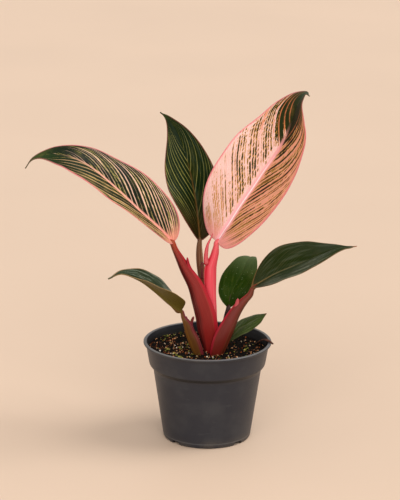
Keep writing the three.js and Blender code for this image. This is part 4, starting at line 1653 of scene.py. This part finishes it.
BLADE_FINISHES = {
    1: BladeFinish(
        title="Striped blade", pale=("e4bc90", "f8ccb4"), halo=("a08a4c", "8c8440"),
        olive=("424a20", "3a461c"), deep=("16260c", "0a1804"),
        cover=(
            ((0.0, 0.6), (0.15, 0.9), (0.6, 1.1), (0.8, 1.4)),
            ((0.0, 0.6), (0.12, 1.0), (0.6, 1.1), (0.8, 1.4)),
        ),
        strips=(13.0, 24.0), dashes=11.0, contrast=2.3, patch=0.8, core_share=0.5, strip_luck=0.55,
        main_share=0.35, rib_zone=(1.6, 0.3), line=0.17, line_colours=("dcb482", "fcd0b8"),
        line_share=1.0, rib=("f8b0a4", "ecb09c", "5a5c30"), rib_width=2.6, rib_end=0.62, margin="f08c90",
        margin_width=1.1, tip="28441a", tip_start=0.74, tip_run=0.24, base="f8a894", base_widening=0.3,
        under_share=0.12,
        streaks=(
            Streak(True, 0.3, 0.013, 0.1, 0.9), Streak(True, 0.43, 0.008, 0.2, 0.9),
            Streak(True, 0.16, 0.007, 0.15, 0.95), Streak(True, 0.04, 0.01, 0.05, 0.9),
        ),
    ),
    2: BladeFinish(
        title="Veined dark blade", pale="a0a050", halo="66662c", olive="384416",
        deep=("12240a", "14260a"), cover=(((0.0, 0.95), (0.2, 1.1), (1.0, 1.1)),) * 2,
        strips=(14.0, 12.0), dashes=4.0, contrast=1.4, patch=0.8, line=0.11,
        line_colours=("b8b464", "a8a45c"), line_share=0.9, line_fade=(0.6, 1.0),
        rib=("6a4a20", "5a4418", "2a3a1c"), rib_width=1.6, rib_end=0.45, margin="84463c",
        margin_width=0.8, tip="2a3c14", base="281c04", base_stop=0.4, sheen_and_flecks="50645c",
        sheen_share=(0.06, 0.2), under="3c4424", coat=0.0, specular=0.1,
    ),
    3: BladeFinish(
        title="Pink blade", pale=("ffd6d0", "f0a68a"), halo=("cc9448", "b0863e"),
        olive=("80641c", "6c4c1c"), deep=("222c06", "20220a"),
        cover=(
            ((0.0, 0.44), (0.25, 0.56), (0.55, 0.52), (0.75, 0.6), (0.9, 1.6), (1.0, 2.0)),
            ((0.0, 0.42), (0.2, 0.6), (0.6, 0.76), (0.76, 0.9), (0.9, 1.3)),
        ),
        edge_cover=(0.06, -0.1), calm_edge=0.45, tip_cover=1.9, strips=(40.0, 26.0), dashes=24.0,
        contrast=3.4, patch=1.4, core_share=0.8, strip_luck=0.35, tint_share=0.2, cap=(0.4, 1.14),
        line_fade=(0.55, 0.72), main_share=1.0, rib_zone=(5.0, 0.9), edge_zone=(3.6, 0.45), line=0.3,
        line_colours=("fec4bc", "ee9478"), line_tip="f08c5c", line_share=0.85,
        rib=("fcb4bc", "fcb8bc", "b86c48"), rib_width=4.6, rib_highlight="fff4f2", rib_highlight_share=0.95,
        rib_end=0.6, margin="ea7c86", margin_width=1.4, tip="223a14", tip_start=0.86, tip_run=0.14,
        base="f8a4a0", base_stop=0.12, under_share=0.3,
        streaks=(
            *(Streak(False, vein, 0.013) for vein in (0.07, 0.18, 0.3, 0.43)),
            *(Streak(False, vein, 0.006) for vein in (0.56, 0.62, 0.69, 0.76)),
            *(Streak(True, vein, 0.009) for vein in (0.08, 0.19, 0.28, 0.4)),
            *(Streak(True, vein, 0.004) for vein in (0.5, 0.58, 0.66)),
        ),
    ),
    4: BladeFinish(
        title="Folded olive blade", pale=("8a7a48", "7c8a64"), halo=("6a5a30", "5a6a48"),
        olive=("584c20", "36482c"), deep=("4c4418", "1e3418"), cover=(((0.0, 1.0), (1.0, 1.1)),) * 2,
        strips=(24.0, 16.0), contrast=1.4, line=0.16, line_colours=("8c8250", "5a6c4c"),
        rib=("9a7a4c", "8a6c3c", "4a4a28"), rib_width=1.0, margin="b08c60", margin_width=0.7,
        tip="46482a", base="6a5028", under="5c5018", under_share=0.75, roughness=0.34, coat=0.05,
        specular=0.2, sheen_and_flecks="98a694", sheen_share=(0.0, 0.6),
    ),
    5: BladeFinish(
        title="Glossy dark blade", pale="5a5a34", halo=("3c4024", "444828"), olive=("2c3610", "303c12"),
        deep=("1c2c04", "1e2e08"), cover=(((0.0, 1.1), (1.0, 1.1)),) * 2, strips=(24.0, 24.0),
        contrast=0.9, patch=0.6, line=0.14, line_colours="5c6038", line_share=0.35,
        rib=("7a6a40", "4c4a24", "2c3616"), rib_width=1.2, rib_end=0.4, margin="7a5a34", margin_width=0.6,
        tip="b4642c", tip_start=0.95, base="3c3a18", base_stop=0.05, under="343a1c", roughness=0.3,
        coat=0.05, specular=0.16, sheen_and_flecks="8c9480", sheen_share=(0.12, 0.4),
    ),
    6: BladeFinish(
        title="Satin blade", pale="646c3c", halo="46521e", olive="2e400c", deep="1c3400",
        cover=(((0.0, 0.85), (1.0, 0.8)),) * 2, strips=(26.0, 26.0), contrast=0.3, patch=0.3,
        core_share=0.1, strip_luck=0.1, line=0.1, line_colours="4a5620", line_share=0.1,
        rib=("2a3c08", "34440e", "5c6034"), rib_width=0.5, margin="56602c", margin_width=0.4,
        # On this blade the tip colour is painted sheen: the outer two thirds paler and greyer, as if catching
        # light.
        tip="74885c", tip_start=0.3, tip_run=0.7, base="222e04", under="4a5228", roughness=0.46, coat=0.0,
        specular=0.04, sheen_and_flecks="8a9a74", sheen_share=(0.02, 0.04), flecks=0.5,
    ),
    7: BladeFinish(
        title="Young dark blade", pale="6a7640", halo="50602c", olive=("3e4c20", "425022"),
        deep=("34441a", "38481c"), cover=(((0.0, 0.9), (1.0, 1.0)),) * 2, strips=(18.0, 18.0),
        contrast=1.2, line=0.14, line_colours="5c6a34", line_share=0.35,
        rib=("5a4424", "464c20", "3c4820"), rib_width=0.9, margin="4a4c28", margin_width=0.4,
        tip="6a4424", tip_start=0.93, base="4a3c18", roughness=0.38, sheen_and_flecks="7c8c60",
        sheen_share=(0.3, 0.3),
    ),
}


PETIOLE_FINISHES = {
    1: PetioleFinish(
        # Petiole 1's left colour is painted shade: its shaded left side.
        "Red sheathed petiole", "841a16", "50100f", "a81426", "a85424", "721210", "a03a30", "a4142a",
        streak_share=0.45, right_from=0.58, top_start=0.72,
    ),
    2: PetioleFinish(
        "Brown petiole", "6a4028", "5c3018", "846444", "5e4624", "5c1c20", "9a7450", "642a2e",
        streak_share=0.7,
    ),
    3: PetioleFinish(
        "Coral petiole", "e6485a", "cc1c34", "d44050", "f07e80", "a81828", "fa9094", "e06670",
        streak_share=0.5,
    ),
    4: PetioleFinish(
        "Olive petiole", "5c3612", "6c4418", "681626", "5e5018", "46200c", "7c5a26", "6c1820",
        streak_share=0.5, right_from=0.3,
    ),
    5: PetioleFinish(
        "Russet petiole", "6c1c14", "ac1a30", "56200f", "6c381a", "641210", "88382a", "be5058",
        streak_share=0.5, left_from=-0.6, right_from=0.4, top_start=0.5,
    ),
    6: PetioleFinish(
        "Dark petiole", "2c0e06", "1e0a06", "3c1c0c", "3a2810", "2c0e08", "4a2414",
    ),
    7: PetioleFinish(
        "Young petiole", "4a2412", "341a0c", "56301a", "4a3c18", "341a0c", "6a4428",
    ),
}


@dataclass
class Fronds:
    """The seven petioles and blades, grown from the same values as the solids.

    The rib under a blade is given by how far each place lies from the blade's base, and the half width.
    """

    stalk_half_depth: float = 2.9
    tip_half_depth: float = 1.0
    channel: float = 0.45
    groove: float = 0.45
    keel: float = 1.1
    rib_depth: float = 0.4
    rib: Stops = ((3.0, 1.7), (7.0, 1.3), (12.0, 0.8), (18.0, 0.3))
    blade_grid: tuple[int, int] = (150, 88)
    small_grid: tuple[int, int] = (84, 52)
    small_half_width: float = 18.0
    blades: BladeGrowth = field(default_factory=BladeGrowth)
    stalks: StalkGrowth = field(default_factory=StalkGrowth)

    def build(self, effects: Effects) -> None:
        """Build and dress every frond.

        Args:
            effects: The shared shader groups.
        """
        for frond in FRONDS:
            self._petiole(frond, effects)
            self._blade(frond, effects)

    def _under_blade(self, frond: Frond) -> list[Station]:
        """The rib that carries a petiole on under its blade.

        Args:
            frond: The frond.

        Returns:
            The stations of the rib, upward.
        """
        spine = dense_curve(frond.spine)
        steps = np.linalg.norm(np.diff(spine, axis=0), axis=1)
        run = np.concatenate([[0.0], np.cumsum(steps)])

        def at(reach: float) -> Vector:
            """The spine's point at a reach from its base."""
            return Vector([float(np.interp(reach, run, spine[:, k])) for k in range(3)])

        roll = math.radians(frond.roll[0])
        made = []
        for reach, half_width in self.rib:
            along = (at(reach + 1.0) - at(reach)).normalized()
            face = Vector(frond.face)
            facing = (face - along * along.dot(face)).normalized()
            normal = facing * math.cos(roll) + along.cross(facing) * math.sin(roll)
            made.append((*(at(reach) - normal * (half_width + self.rib_depth)), half_width))
        return made

    def _petiole(self, frond: Frond, effects: Effects) -> None:
        """Build a petiole that runs on under its blade as the rib, and the tips of its sheath.

        Args:
            frond: The frond.
            effects: The shared shader groups.
        """
        look, node = PETIOLE_FINISHES[frond.number], f"petiole_{frond.number}"
        stations = [*reversed(frond.stalk), *self._under_blade(frond)]
        piece = self.stalks.rod(
            f"stalk_{frond.number}", stations, self.stalk_half_depth, channel=self.channel,
            material=look.material(effects),
        )
        settle(piece, frond.slots[0], node)
        if frond.sheath_tips:
            dried = replace(look, title=f"{look.title} sheath", front=look.sheath, top=look.sheath)
            material = dried.material(effects)
        for count, tip in enumerate(frond.sheath_tips, 1):
            name = f"sheath_{frond.number}_{count}"
            settle(self.stalks.rod(name, tip, self.tip_half_depth, material=material), frond.slots[0], node)

    def _blade(self, frond: Frond, effects: Effects) -> None:
        """Build one blade along its spine.

        Args:
            frond: The frond.
            effects: The shared shader groups.
        """
        small = frond.half_width < self.small_half_width
        rows, columns = self.small_grid if small else self.blade_grid
        same = "half_width base_share tail_share tongue face roll curl fold wave lobe pleat pleats".split()
        values = {name: getattr(frond, name) for name in same}
        spine = path_object(frond.spine)
        piece = grown(
            f"leaf_{frond.number}", self.blades.graph, spine=spine, rows=rows, columns=columns,
            base_power=frond.powers[0], tip_power=frond.powers[1], sweep_left=frond.veins[0],
            sweep_right=frond.veins[1], groove=self.groove, keel=self.keel,
            material=BLADE_FINISHES[frond.number].material(effects), **values,
        )
        discard(spine)
        settle(piece, frond.slots[1], f"blade_{frond.number}")


@dataclass
class Pot:
    """The moulded nursery pot: one thin shell with drains in its foot and floor.

    The outer wall is given by radii and heights from the foot up, and each notch and hole by its azimuth
    in degrees from the front toward +X.
    """

    outer: Stops = (
        (39.4, 0), (40.8, 0.6), (41.4, 2), (50.4, 64), (50.8, 66.5), (52.2, 69.2), (54.1, 71),
        (54.8, 73), (57.6, 89.8), (58.2, 91.3),
    )
    wall: float = 1.2
    floor: float = 1.5
    rim_radius: float = 60.0
    height: float = 93.3
    lip: float = 2.0
    lip_round: float = 0.5
    corner: float = 1.4
    sides: int = 192
    notches: tuple[float, ...] = (45.0, 135.0, 225.0, 315.0)
    notch_size: Triple = (9.0, 9.0, 6.8)
    notch_radius: float = 41.0
    notch_round: float = 1.2
    holes: tuple[float, ...] = (0.0, 90.0, 180.0, 270.0)
    hole_radius: float = 4.0
    hole_circle: float = 26.0
    hole_sides: int = 40
    hole_depth: float = 6.0

    def inner(self, gap: float = 0.0) -> list[Pair]:
        """The inner wall's profile from the foot up, moved inward by a gap."""
        return [(radius - self.wall - gap, height) for radius, height in self.outer[2:]]

    def _shell(self) -> Object:
        """Turn the closed wall."""
        foot = self.height - self.lip
        r, edge = self.lip_round, self.rim_radius
        lip = [(edge - r, foot), (edge, foot + r), (edge, self.height - r), (edge - r, self.height)]
        inner = self.inner()[::-1]
        first, last = inner[0], inner[-1]
        floor = [(last[0], self.floor + 1), (last[0] - 1, self.floor), (0.0, self.floor)]
        mouth = [(first[0] + 0.4, self.height), (first[0], self.height - 0.4)]
        outer = rounded([(0.0, 0.0), *self.outer], self.corner)
        whole = [*outer, *map(Vector, lip + mouth + inner + floor)]
        return mesh_piece("uncut pot", turned(whole, self.sides))

    def _cutters(self) -> list[Object]:
        """Boxes for the notches in the foot, and round cutters for the holes in the floor."""
        cutters = []
        for azimuth in self.notches:
            build = bmesh.new()
            bmesh.ops.create_cube(build, size=1.0)
            turn = Matrix.Rotation(math.radians(azimuth), 4, "Z")
            size = Matrix.Diagonal((*(s * MM for s in self.notch_size), 1.0))
            placed = moved_round(self.notch_radius, azimuth) @ turn @ size
            bmesh.ops.transform(build, matrix=placed, verts=build.verts)
            edges = [e for e in build.edges if all(v.co.z > 0 for v in e.verts)]
            reach = self.notch_round * MM
            bmesh.ops.bevel(build, geom=edges, offset=reach, segments=3, profile=0.5, affect="EDGES")
            cutters.append(mesh_piece("notch cutter", build))
        radius = self.hole_radius * MM
        for azimuth in self.holes:
            build = bmesh.new()
            bmesh.ops.create_cone(
                build, cap_ends=True, segments=self.hole_sides, radius1=radius, radius2=radius,
                depth=self.hole_depth * MM, matrix=moved_round(self.hole_circle, azimuth),
            )
            cutters.append(mesh_piece("hole cutter", build))
        return cutters

    def build(self, effects: Effects) -> None:
        """Turn the shell, cut its drains and dress it.

        Args:
            effects: The shared shader groups.
        """
        shell, cutters = self._shell(), self._cutters()
        for cutter in cutters:
            cut = shell.modifiers.new("Drain", "BOOLEAN")
            cut.operation, cut.solver, cut.object = "DIFFERENCE", "EXACT", cutter
        build = bmesh.new()
        build.from_object(shell, bpy.context.evaluated_depsgraph_get())
        piece = mesh_piece("nursery_pot", build)
        discard(shell, *cutters)
        piece.data.materials.append(PlasticFinish().material(effects))
        settle(piece, Slot.POT, "pot")


class Form(Enum):
    """The forms that a grain can have."""

    STONE = "stone"
    SPRIG = "sprig"


def stone() -> BMesh:
    """A rough stone of twenty faces."""
    build = bmesh.new()
    bmesh.ops.create_icosphere(build, subdivisions=1, radius=0.5)
    for vert in build.verts:
        vert.co *= 1.0 + 0.35 * noise.noise(vert.co * 3.1 + Vector((5.2, 1.3, 8.8)))
    return build


def sprig(leaflets: int = 9, golden: float = 0.382) -> BMesh:
    """A tuft of narrow leaflets that lean outward.

    Args:
        leaflets: How many it has.
        golden: The share of a turn from each to the next.

    Returns:
        The closed build, one unit across.
    """
    build = bmesh.new()
    for k in range(leaflets):
        angle = TURN * k * golden
        lean = 0.25 + 0.5 * (k % 3) / 2
        out = Vector((math.cos(angle), math.sin(angle), 0.0))
        side = Vector((-out.y, out.x, 0.0)) * 0.09
        root = out * 0.05
        middle = out * (0.22 + lean * 0.2) + Vector((0, 0, 0.35))
        end = out * (0.35 + lean * 0.6) + Vector((0, 0, 0.75 - lean * 0.5))
        ridge = middle + Vector((0, 0, -0.05))
        corners = (root - side * 0.5, root + side * 0.5, middle - side, middle + side, ridge, end)
        a, b, c, d, ridge, tip = map(build.verts.new, corners)
        for corner in (
            (a, b, d, c), (c, d, tip), (b, a, ridge), (a, c, ridge), (d, b, ridge), (c, tip, ridge),
            (tip, d, ridge),
        ):
            build.faces.new(corner)
    return build


@dataclass(frozen=True)
class Scatter:
    """One kind of thing on the mix: how many to the square metre, how large and how it lies."""

    name: str
    density: float
    smallest: float
    largest: float
    shape: Triple
    finish: GrainFinish
    seed: int
    patch_size: float = 9.0
    patch_cut: float = 0.2
    thinning: float = 0.0
    away: Triple = (0.75, 0.65, 0.0)
    tilt: float = 0.5
    sink: float = 0.1
    wear: float = 0.2
    form: Form = Form.STONE


SCATTERS = (
    Scatter(
        "mix_crumbs", 300000.0, 0.5, 1.8, (1.0, 0.85, 0.7),
        GrainFinish("Peat crumbs", ("060403", "0e0a07", "2a1c12")), 11, tilt=1.0, sink=0.2, wear=0.4,
    ),
    Scatter(
        "mix_grit", 135000.0, 0.7, 2.4, (1.0, 0.8, 0.6),
        GrainFinish("Bark and clay grit", ("4a2410", "a4562a", "e2ac7c")), 23, patch_size=6.0,
        patch_cut=0.36, thinning=0.7, tilt=0.6, sink=-0.4, wear=0.35,
    ),
    Scatter(
        "mix_perlite", 10000.0, 0.9, 2.2, (1.0, 0.9, 0.8),
        GrainFinish("Pale grit", ("c0a080", "ead8bc", "fcf4ea"), mottle=0.15), 29, patch_cut=0.3,
        thinning=0.6, tilt=0.8, sink=-0.5, wear=0.3,
    ),
    Scatter(
        "mix_moss", 130000.0, 1.4, 3.2, (1.0, 1.0, 0.8),
        GrainFinish("Moss", ("4c501c", "868a3c", "bab25e"), mottle=0.25), 37, patch_cut=0.52,
        thinning=0.5, tilt=0.6, sink=-0.4, wear=0.0, form=Form.SPRIG,
    ),
)


@dataclass
class MixBed:
    """The potting mix in the pot: a lumpy filled body, with crumbs, grit and moss on top."""

    level: float = 83.0
    edge_dip: float = 2.0
    skirt: float = 1.0
    slope: Pair = (-0.02, -0.02)
    lump: float = 0.45
    lump_waves: Station = (0.31, 0.27, 0.17, 0.36)
    gap: float = 0.3
    bottom: float = 1.8
    rings: int = 96
    sides: int = 180
    crumble: float = 0.9
    bank: float = 3.2
    bank_from: float = 0.55
    bank_run: float = 0.4
    mouth: float = 56.0
    fall_from: float = 0.93
    hard_over: float = 80.0
    growth: GrainGrowth = field(default_factory=GrainGrowth)

    def height(self, x: float, y: float) -> float:
        """Height of the surface.

        Args:
            x: The place to the right of the middle.
            y: The place behind the middle.

        Returns:
            The height in millimetres.
        """
        broad, deep, slant, cross = self.lump_waves
        lumps = math.sin(broad * x) * math.cos(deep * y) + math.sin(slant * x - cross * y)
        rise = self.level + self.slope[0] * x + self.slope[1] * y + self.lump * lumps
        out = (math.hypot(x, y) / self.mouth - self.bank_from) / self.bank_run
        near_wall = min(1.0, max(0.0, out))
        rise += self.bank * near_wall**2 * (3 - 2 * near_wall)
        return rise + self.crumble * (self._noise(x, y, 0.45) + 0.5 * self._noise(x, y, 1.1))

    @staticmethod
    def _noise(x: float, y: float, scale: float) -> float:
        """Smooth noise of a scale, from -1 to 1."""
        return noise.noise(Vector((x * scale, y * scale, 3.7)))

    def build(self, pot: Pot, effects: Effects) -> None:
        """Build the filled body and what lies on it.

        Args:
            pot: The pot that holds the mix.
            effects: The shared shader groups.
        """
        wall = pot.inner(self.gap)
        foot, top = wall[-3], wall[-2]
        share = (self.level - self.edge_dip - foot[1]) / (top[1] - foot[1])
        edge = foot[0] + (top[0] - foot[0]) * share
        side = [(0.0, self.bottom), (wall[0][0] - 1, self.bottom), *wall[:-2]]
        side.append((edge, self.level - self.edge_dip - self.skirt))
        build = turned([Vector(p) for p in side], self.sides)
        helper = mesh_piece("mix top", self._surface(edge), self.hard_over)
        build.from_mesh(helper.data)
        piece = mesh_piece("mix_body", build, self.hard_over)
        piece.data.materials.append(MixFinish().material(effects))
        settle(piece, Slot.MIX, "potting_mix")
        for scatter in SCATTERS:
            self._scatter(scatter, helper, effects)
        discard(helper)

    def _surface(self, edge: float) -> BMesh:
        """The lumpy top, out to the wall and down to the body's edge.

        Args:
            edge: The radius of the mix at the wall.

        Returns:
            The open build, in metres.
        """
        build = bmesh.new()
        centre = build.verts.new((0.0, 0.0, self.height(0.0, 0.0) * MM))
        rows = []
        for i in range(1, self.rings + 2):
            radius = edge * min(i, self.rings) / self.rings
            row = []
            for k in range(self.sides):
                x, y = azimuth_point(radius, 360.0 * k / self.sides)
                fall = max(0.0, (radius / edge - self.fall_from) / (1.0 - self.fall_from)) ** 2
                z = self.height(x, y) - self.edge_dip * 0.5 * fall
                if i > self.rings:
                    z = self.level - self.edge_dip - self.skirt
                row.append(build.verts.new(Vector((x, y, z)) * MM))
            rows.append(row)
        for k in range(self.sides):
            after = (k + 1) % self.sides
            build.faces.new((centre, rows[0][k], rows[0][after]))
            for lower, upper in zip(rows, rows[1:]):
                build.faces.new((lower[k], upper[k], upper[after], lower[after]))
        return build

    def _scatter(self, scatter: Scatter, surface: Object, effects: Effects) -> None:
        """Grow one kind of grain over the mix.

        Args:
            scatter: The kind.
            surface: What it lies on.
            effects: The shared shader groups.
        """
        build = {Form.STONE: stone, Form.SPRIG: sprig}[scatter.form]()
        grain = mesh_piece("grain", build, 0.0)
        same = "density patch_size patch_cut thinning away seed smallest largest shape tilt sink wear".split()
        values = {name: getattr(scatter, name) for name in same}
        material = scatter.finish.material(effects)
        piece = grown(
            scatter.name, self.growth.graph, surface=surface, grain=grain, material=material, **values
        )
        discard(grain)
        settle(piece, Slot.MIX)


@dataclass
class BarkSliver:
    """The long chip of bark that leans out of the mix over the rim."""

    route: tuple[Station, ...] = (
        (44, 20, 81, 1), (48, 13.5, 87.2, 1.3), (52.4, 5.5, 92.4, 1.5), (56.5, -2.5, 94.4, 1.4),
        (59, -8, 94.5, 1.1), (61.3, -13, 94.3, 0.6),
    )
    half_depth: float = 0.7
    rough: float = 0.7
    end: float = 0.8
    face: Triple = (0.0, -0.3, 1.0)
    finish: WoodFinish = WoodFinish("Bark", "2c1810", "64341e", "9c6040")

    def build(self, stalks: StalkGrowth, effects: Effects) -> None:
        """Grow the sliver along its route.

        Args:
            stalks: What grows rods.
            effects: The shared shader groups.
        """
        piece = stalks.rod(
            "bark_chip", self.route, self.half_depth, rough=self.rough, end=self.end, wrap=0.0,
            face=self.face, material=self.finish.material(effects),
        )
        settle(piece, Slot.BARK, "bark_sliver")


@dataclass
class Crown:
    """The short woody stem that the petioles rise from: the solid itself, with a finish."""

    finish: WoodFinish = WoodFinish("Woody base", "2a1c12", "5a4028", "8a6a48")

    def dress(self, effects: Effects) -> None:
        """Give the solid its finish.

        Args:
            effects: The shared shader groups.
        """
        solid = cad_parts["crown"]
        solid.data.materials.clear()
        solid.data.materials.append(self.finish.material(effects))
        LOG.info("crown: dressed")


@dataclass(frozen=True)
class Sun:
    """One light: where it shines to, how strongly, and how soft it is in degrees."""

    direction: Triple
    energy: float
    angle: float


@dataclass
class Studio:
    """The pale floor, the soft light and the camera. Distances are in metres, and angles in degrees."""

    lens: float = 144.0
    sensor: float = 36.0
    elevation: float = 15.6
    distance: float = 1.854
    roll: float = 0.4
    aim: Triple = (-0.0076, 0.0, 0.1812)
    floor_radius: float = 14.0
    floor_colour: str = "e3cbb6"
    key: Sun = Sun((-0.8, -0.02, -1.0), 1.35, 36.0)
    fill: Sun = Sun((0.05, 1.0, -0.6), 1.5, 60.0)
    light_colour: Triple = (1.0, 0.96, 0.91)
    sky: str = "f4ece4"
    sky_strength: float = 0.64

    def build(self) -> None:
        """Set up the stage for the portrait."""
        self._floor()
        self._light()
        self._camera()
        bpy.context.scene.view_settings.view_transform = "Standard"

    def _floor(self) -> None:
        """A large plain floor with the faintest unevenness of tone."""
        build = bmesh.new()
        bmesh.ops.create_circle(build, cap_ends=True, segments=96, radius=self.floor_radius)
        floor = mesh_piece("floor", build)
        if floor.data.polygons[0].normal.z < 0:
            floor.data.flip_normals()
        paint = Paint("Pale floor", self.floor_colour)
        place = paint.place()
        cloud = paint.noise(place, 2.2, detail=3.0)
        paint.shade(cloud, (0.3, 0.965), (0.7, 1.0))
        normal = paint.bump(paint.noise(place, 420.0), 0.0002, 0.4)
        floor.data.materials.append(paint.done({"Roughness": 0.6 + (cloud - 0.5) * 0.1, "Normal": normal}))

    def _light(self) -> None:
        """A soft key from the upper right, a soft fill from the front, and an even sky."""
        for name, sun in (("key", self.key), ("fill", self.fill)):
            data = bpy.data.lights.new(name, "SUN")
            data.energy, data.angle = sun.energy, math.radians(sun.angle)
            data.color = self.light_colour
            light = linked(bpy.data.objects.new(name, data))
            light.rotation_euler = Vector(sun.direction).to_track_quat("-Z", "Y").to_euler()
        world = bpy.data.worlds.new("Studio")
        world.use_nodes = True
        sky = world.node_tree.nodes["Background"]
        sky.inputs["Color"].default_value = srgb(self.sky)
        sky.inputs["Strength"].default_value = self.sky_strength
        bpy.context.scene.world = world

    def _camera(self) -> None:
        """The portrait's view point, from the front and a little above."""
        tilt, turn = math.radians(self.elevation), math.radians(self.roll)
        ahead = Vector((0.0, math.cos(tilt), -math.sin(tilt)))
        level, rise = Vector((1.0, 0.0, 0.0)), Vector((0.0, math.sin(tilt), math.cos(tilt)))
        right = level * math.cos(turn) + rise * math.sin(turn)
        up = rise * math.cos(turn) - level * math.sin(turn)
        view = Matrix((right, up, -ahead)).transposed().to_4x4()
        data = bpy.data.cameras.new("camera")
        data.lens, data.sensor_width, data.sensor_fit = self.lens, self.sensor, "AUTO"
        camera = linked(bpy.data.objects.new("camera", data))
        camera.matrix_world = Matrix.Translation(Vector(self.aim) - ahead * self.distance) @ view
        bpy.context.scene.camera = camera


def main() -> None:
    """Build every piece in order."""
    logging.basicConfig(level=logging.INFO, format="%(name)s: %(message)s")
    effects = Effects()
    pot, fronds = Pot(), Fronds()
    pot.build(effects)
    MixBed().build(pot, effects)
    Crown().dress(effects)
    fronds.build(effects)
    BarkSliver().build(fronds.stalks, effects)
    Studio().build()
    bpy.context.view_layer.update()


if __name__ == "__main__":
    main()
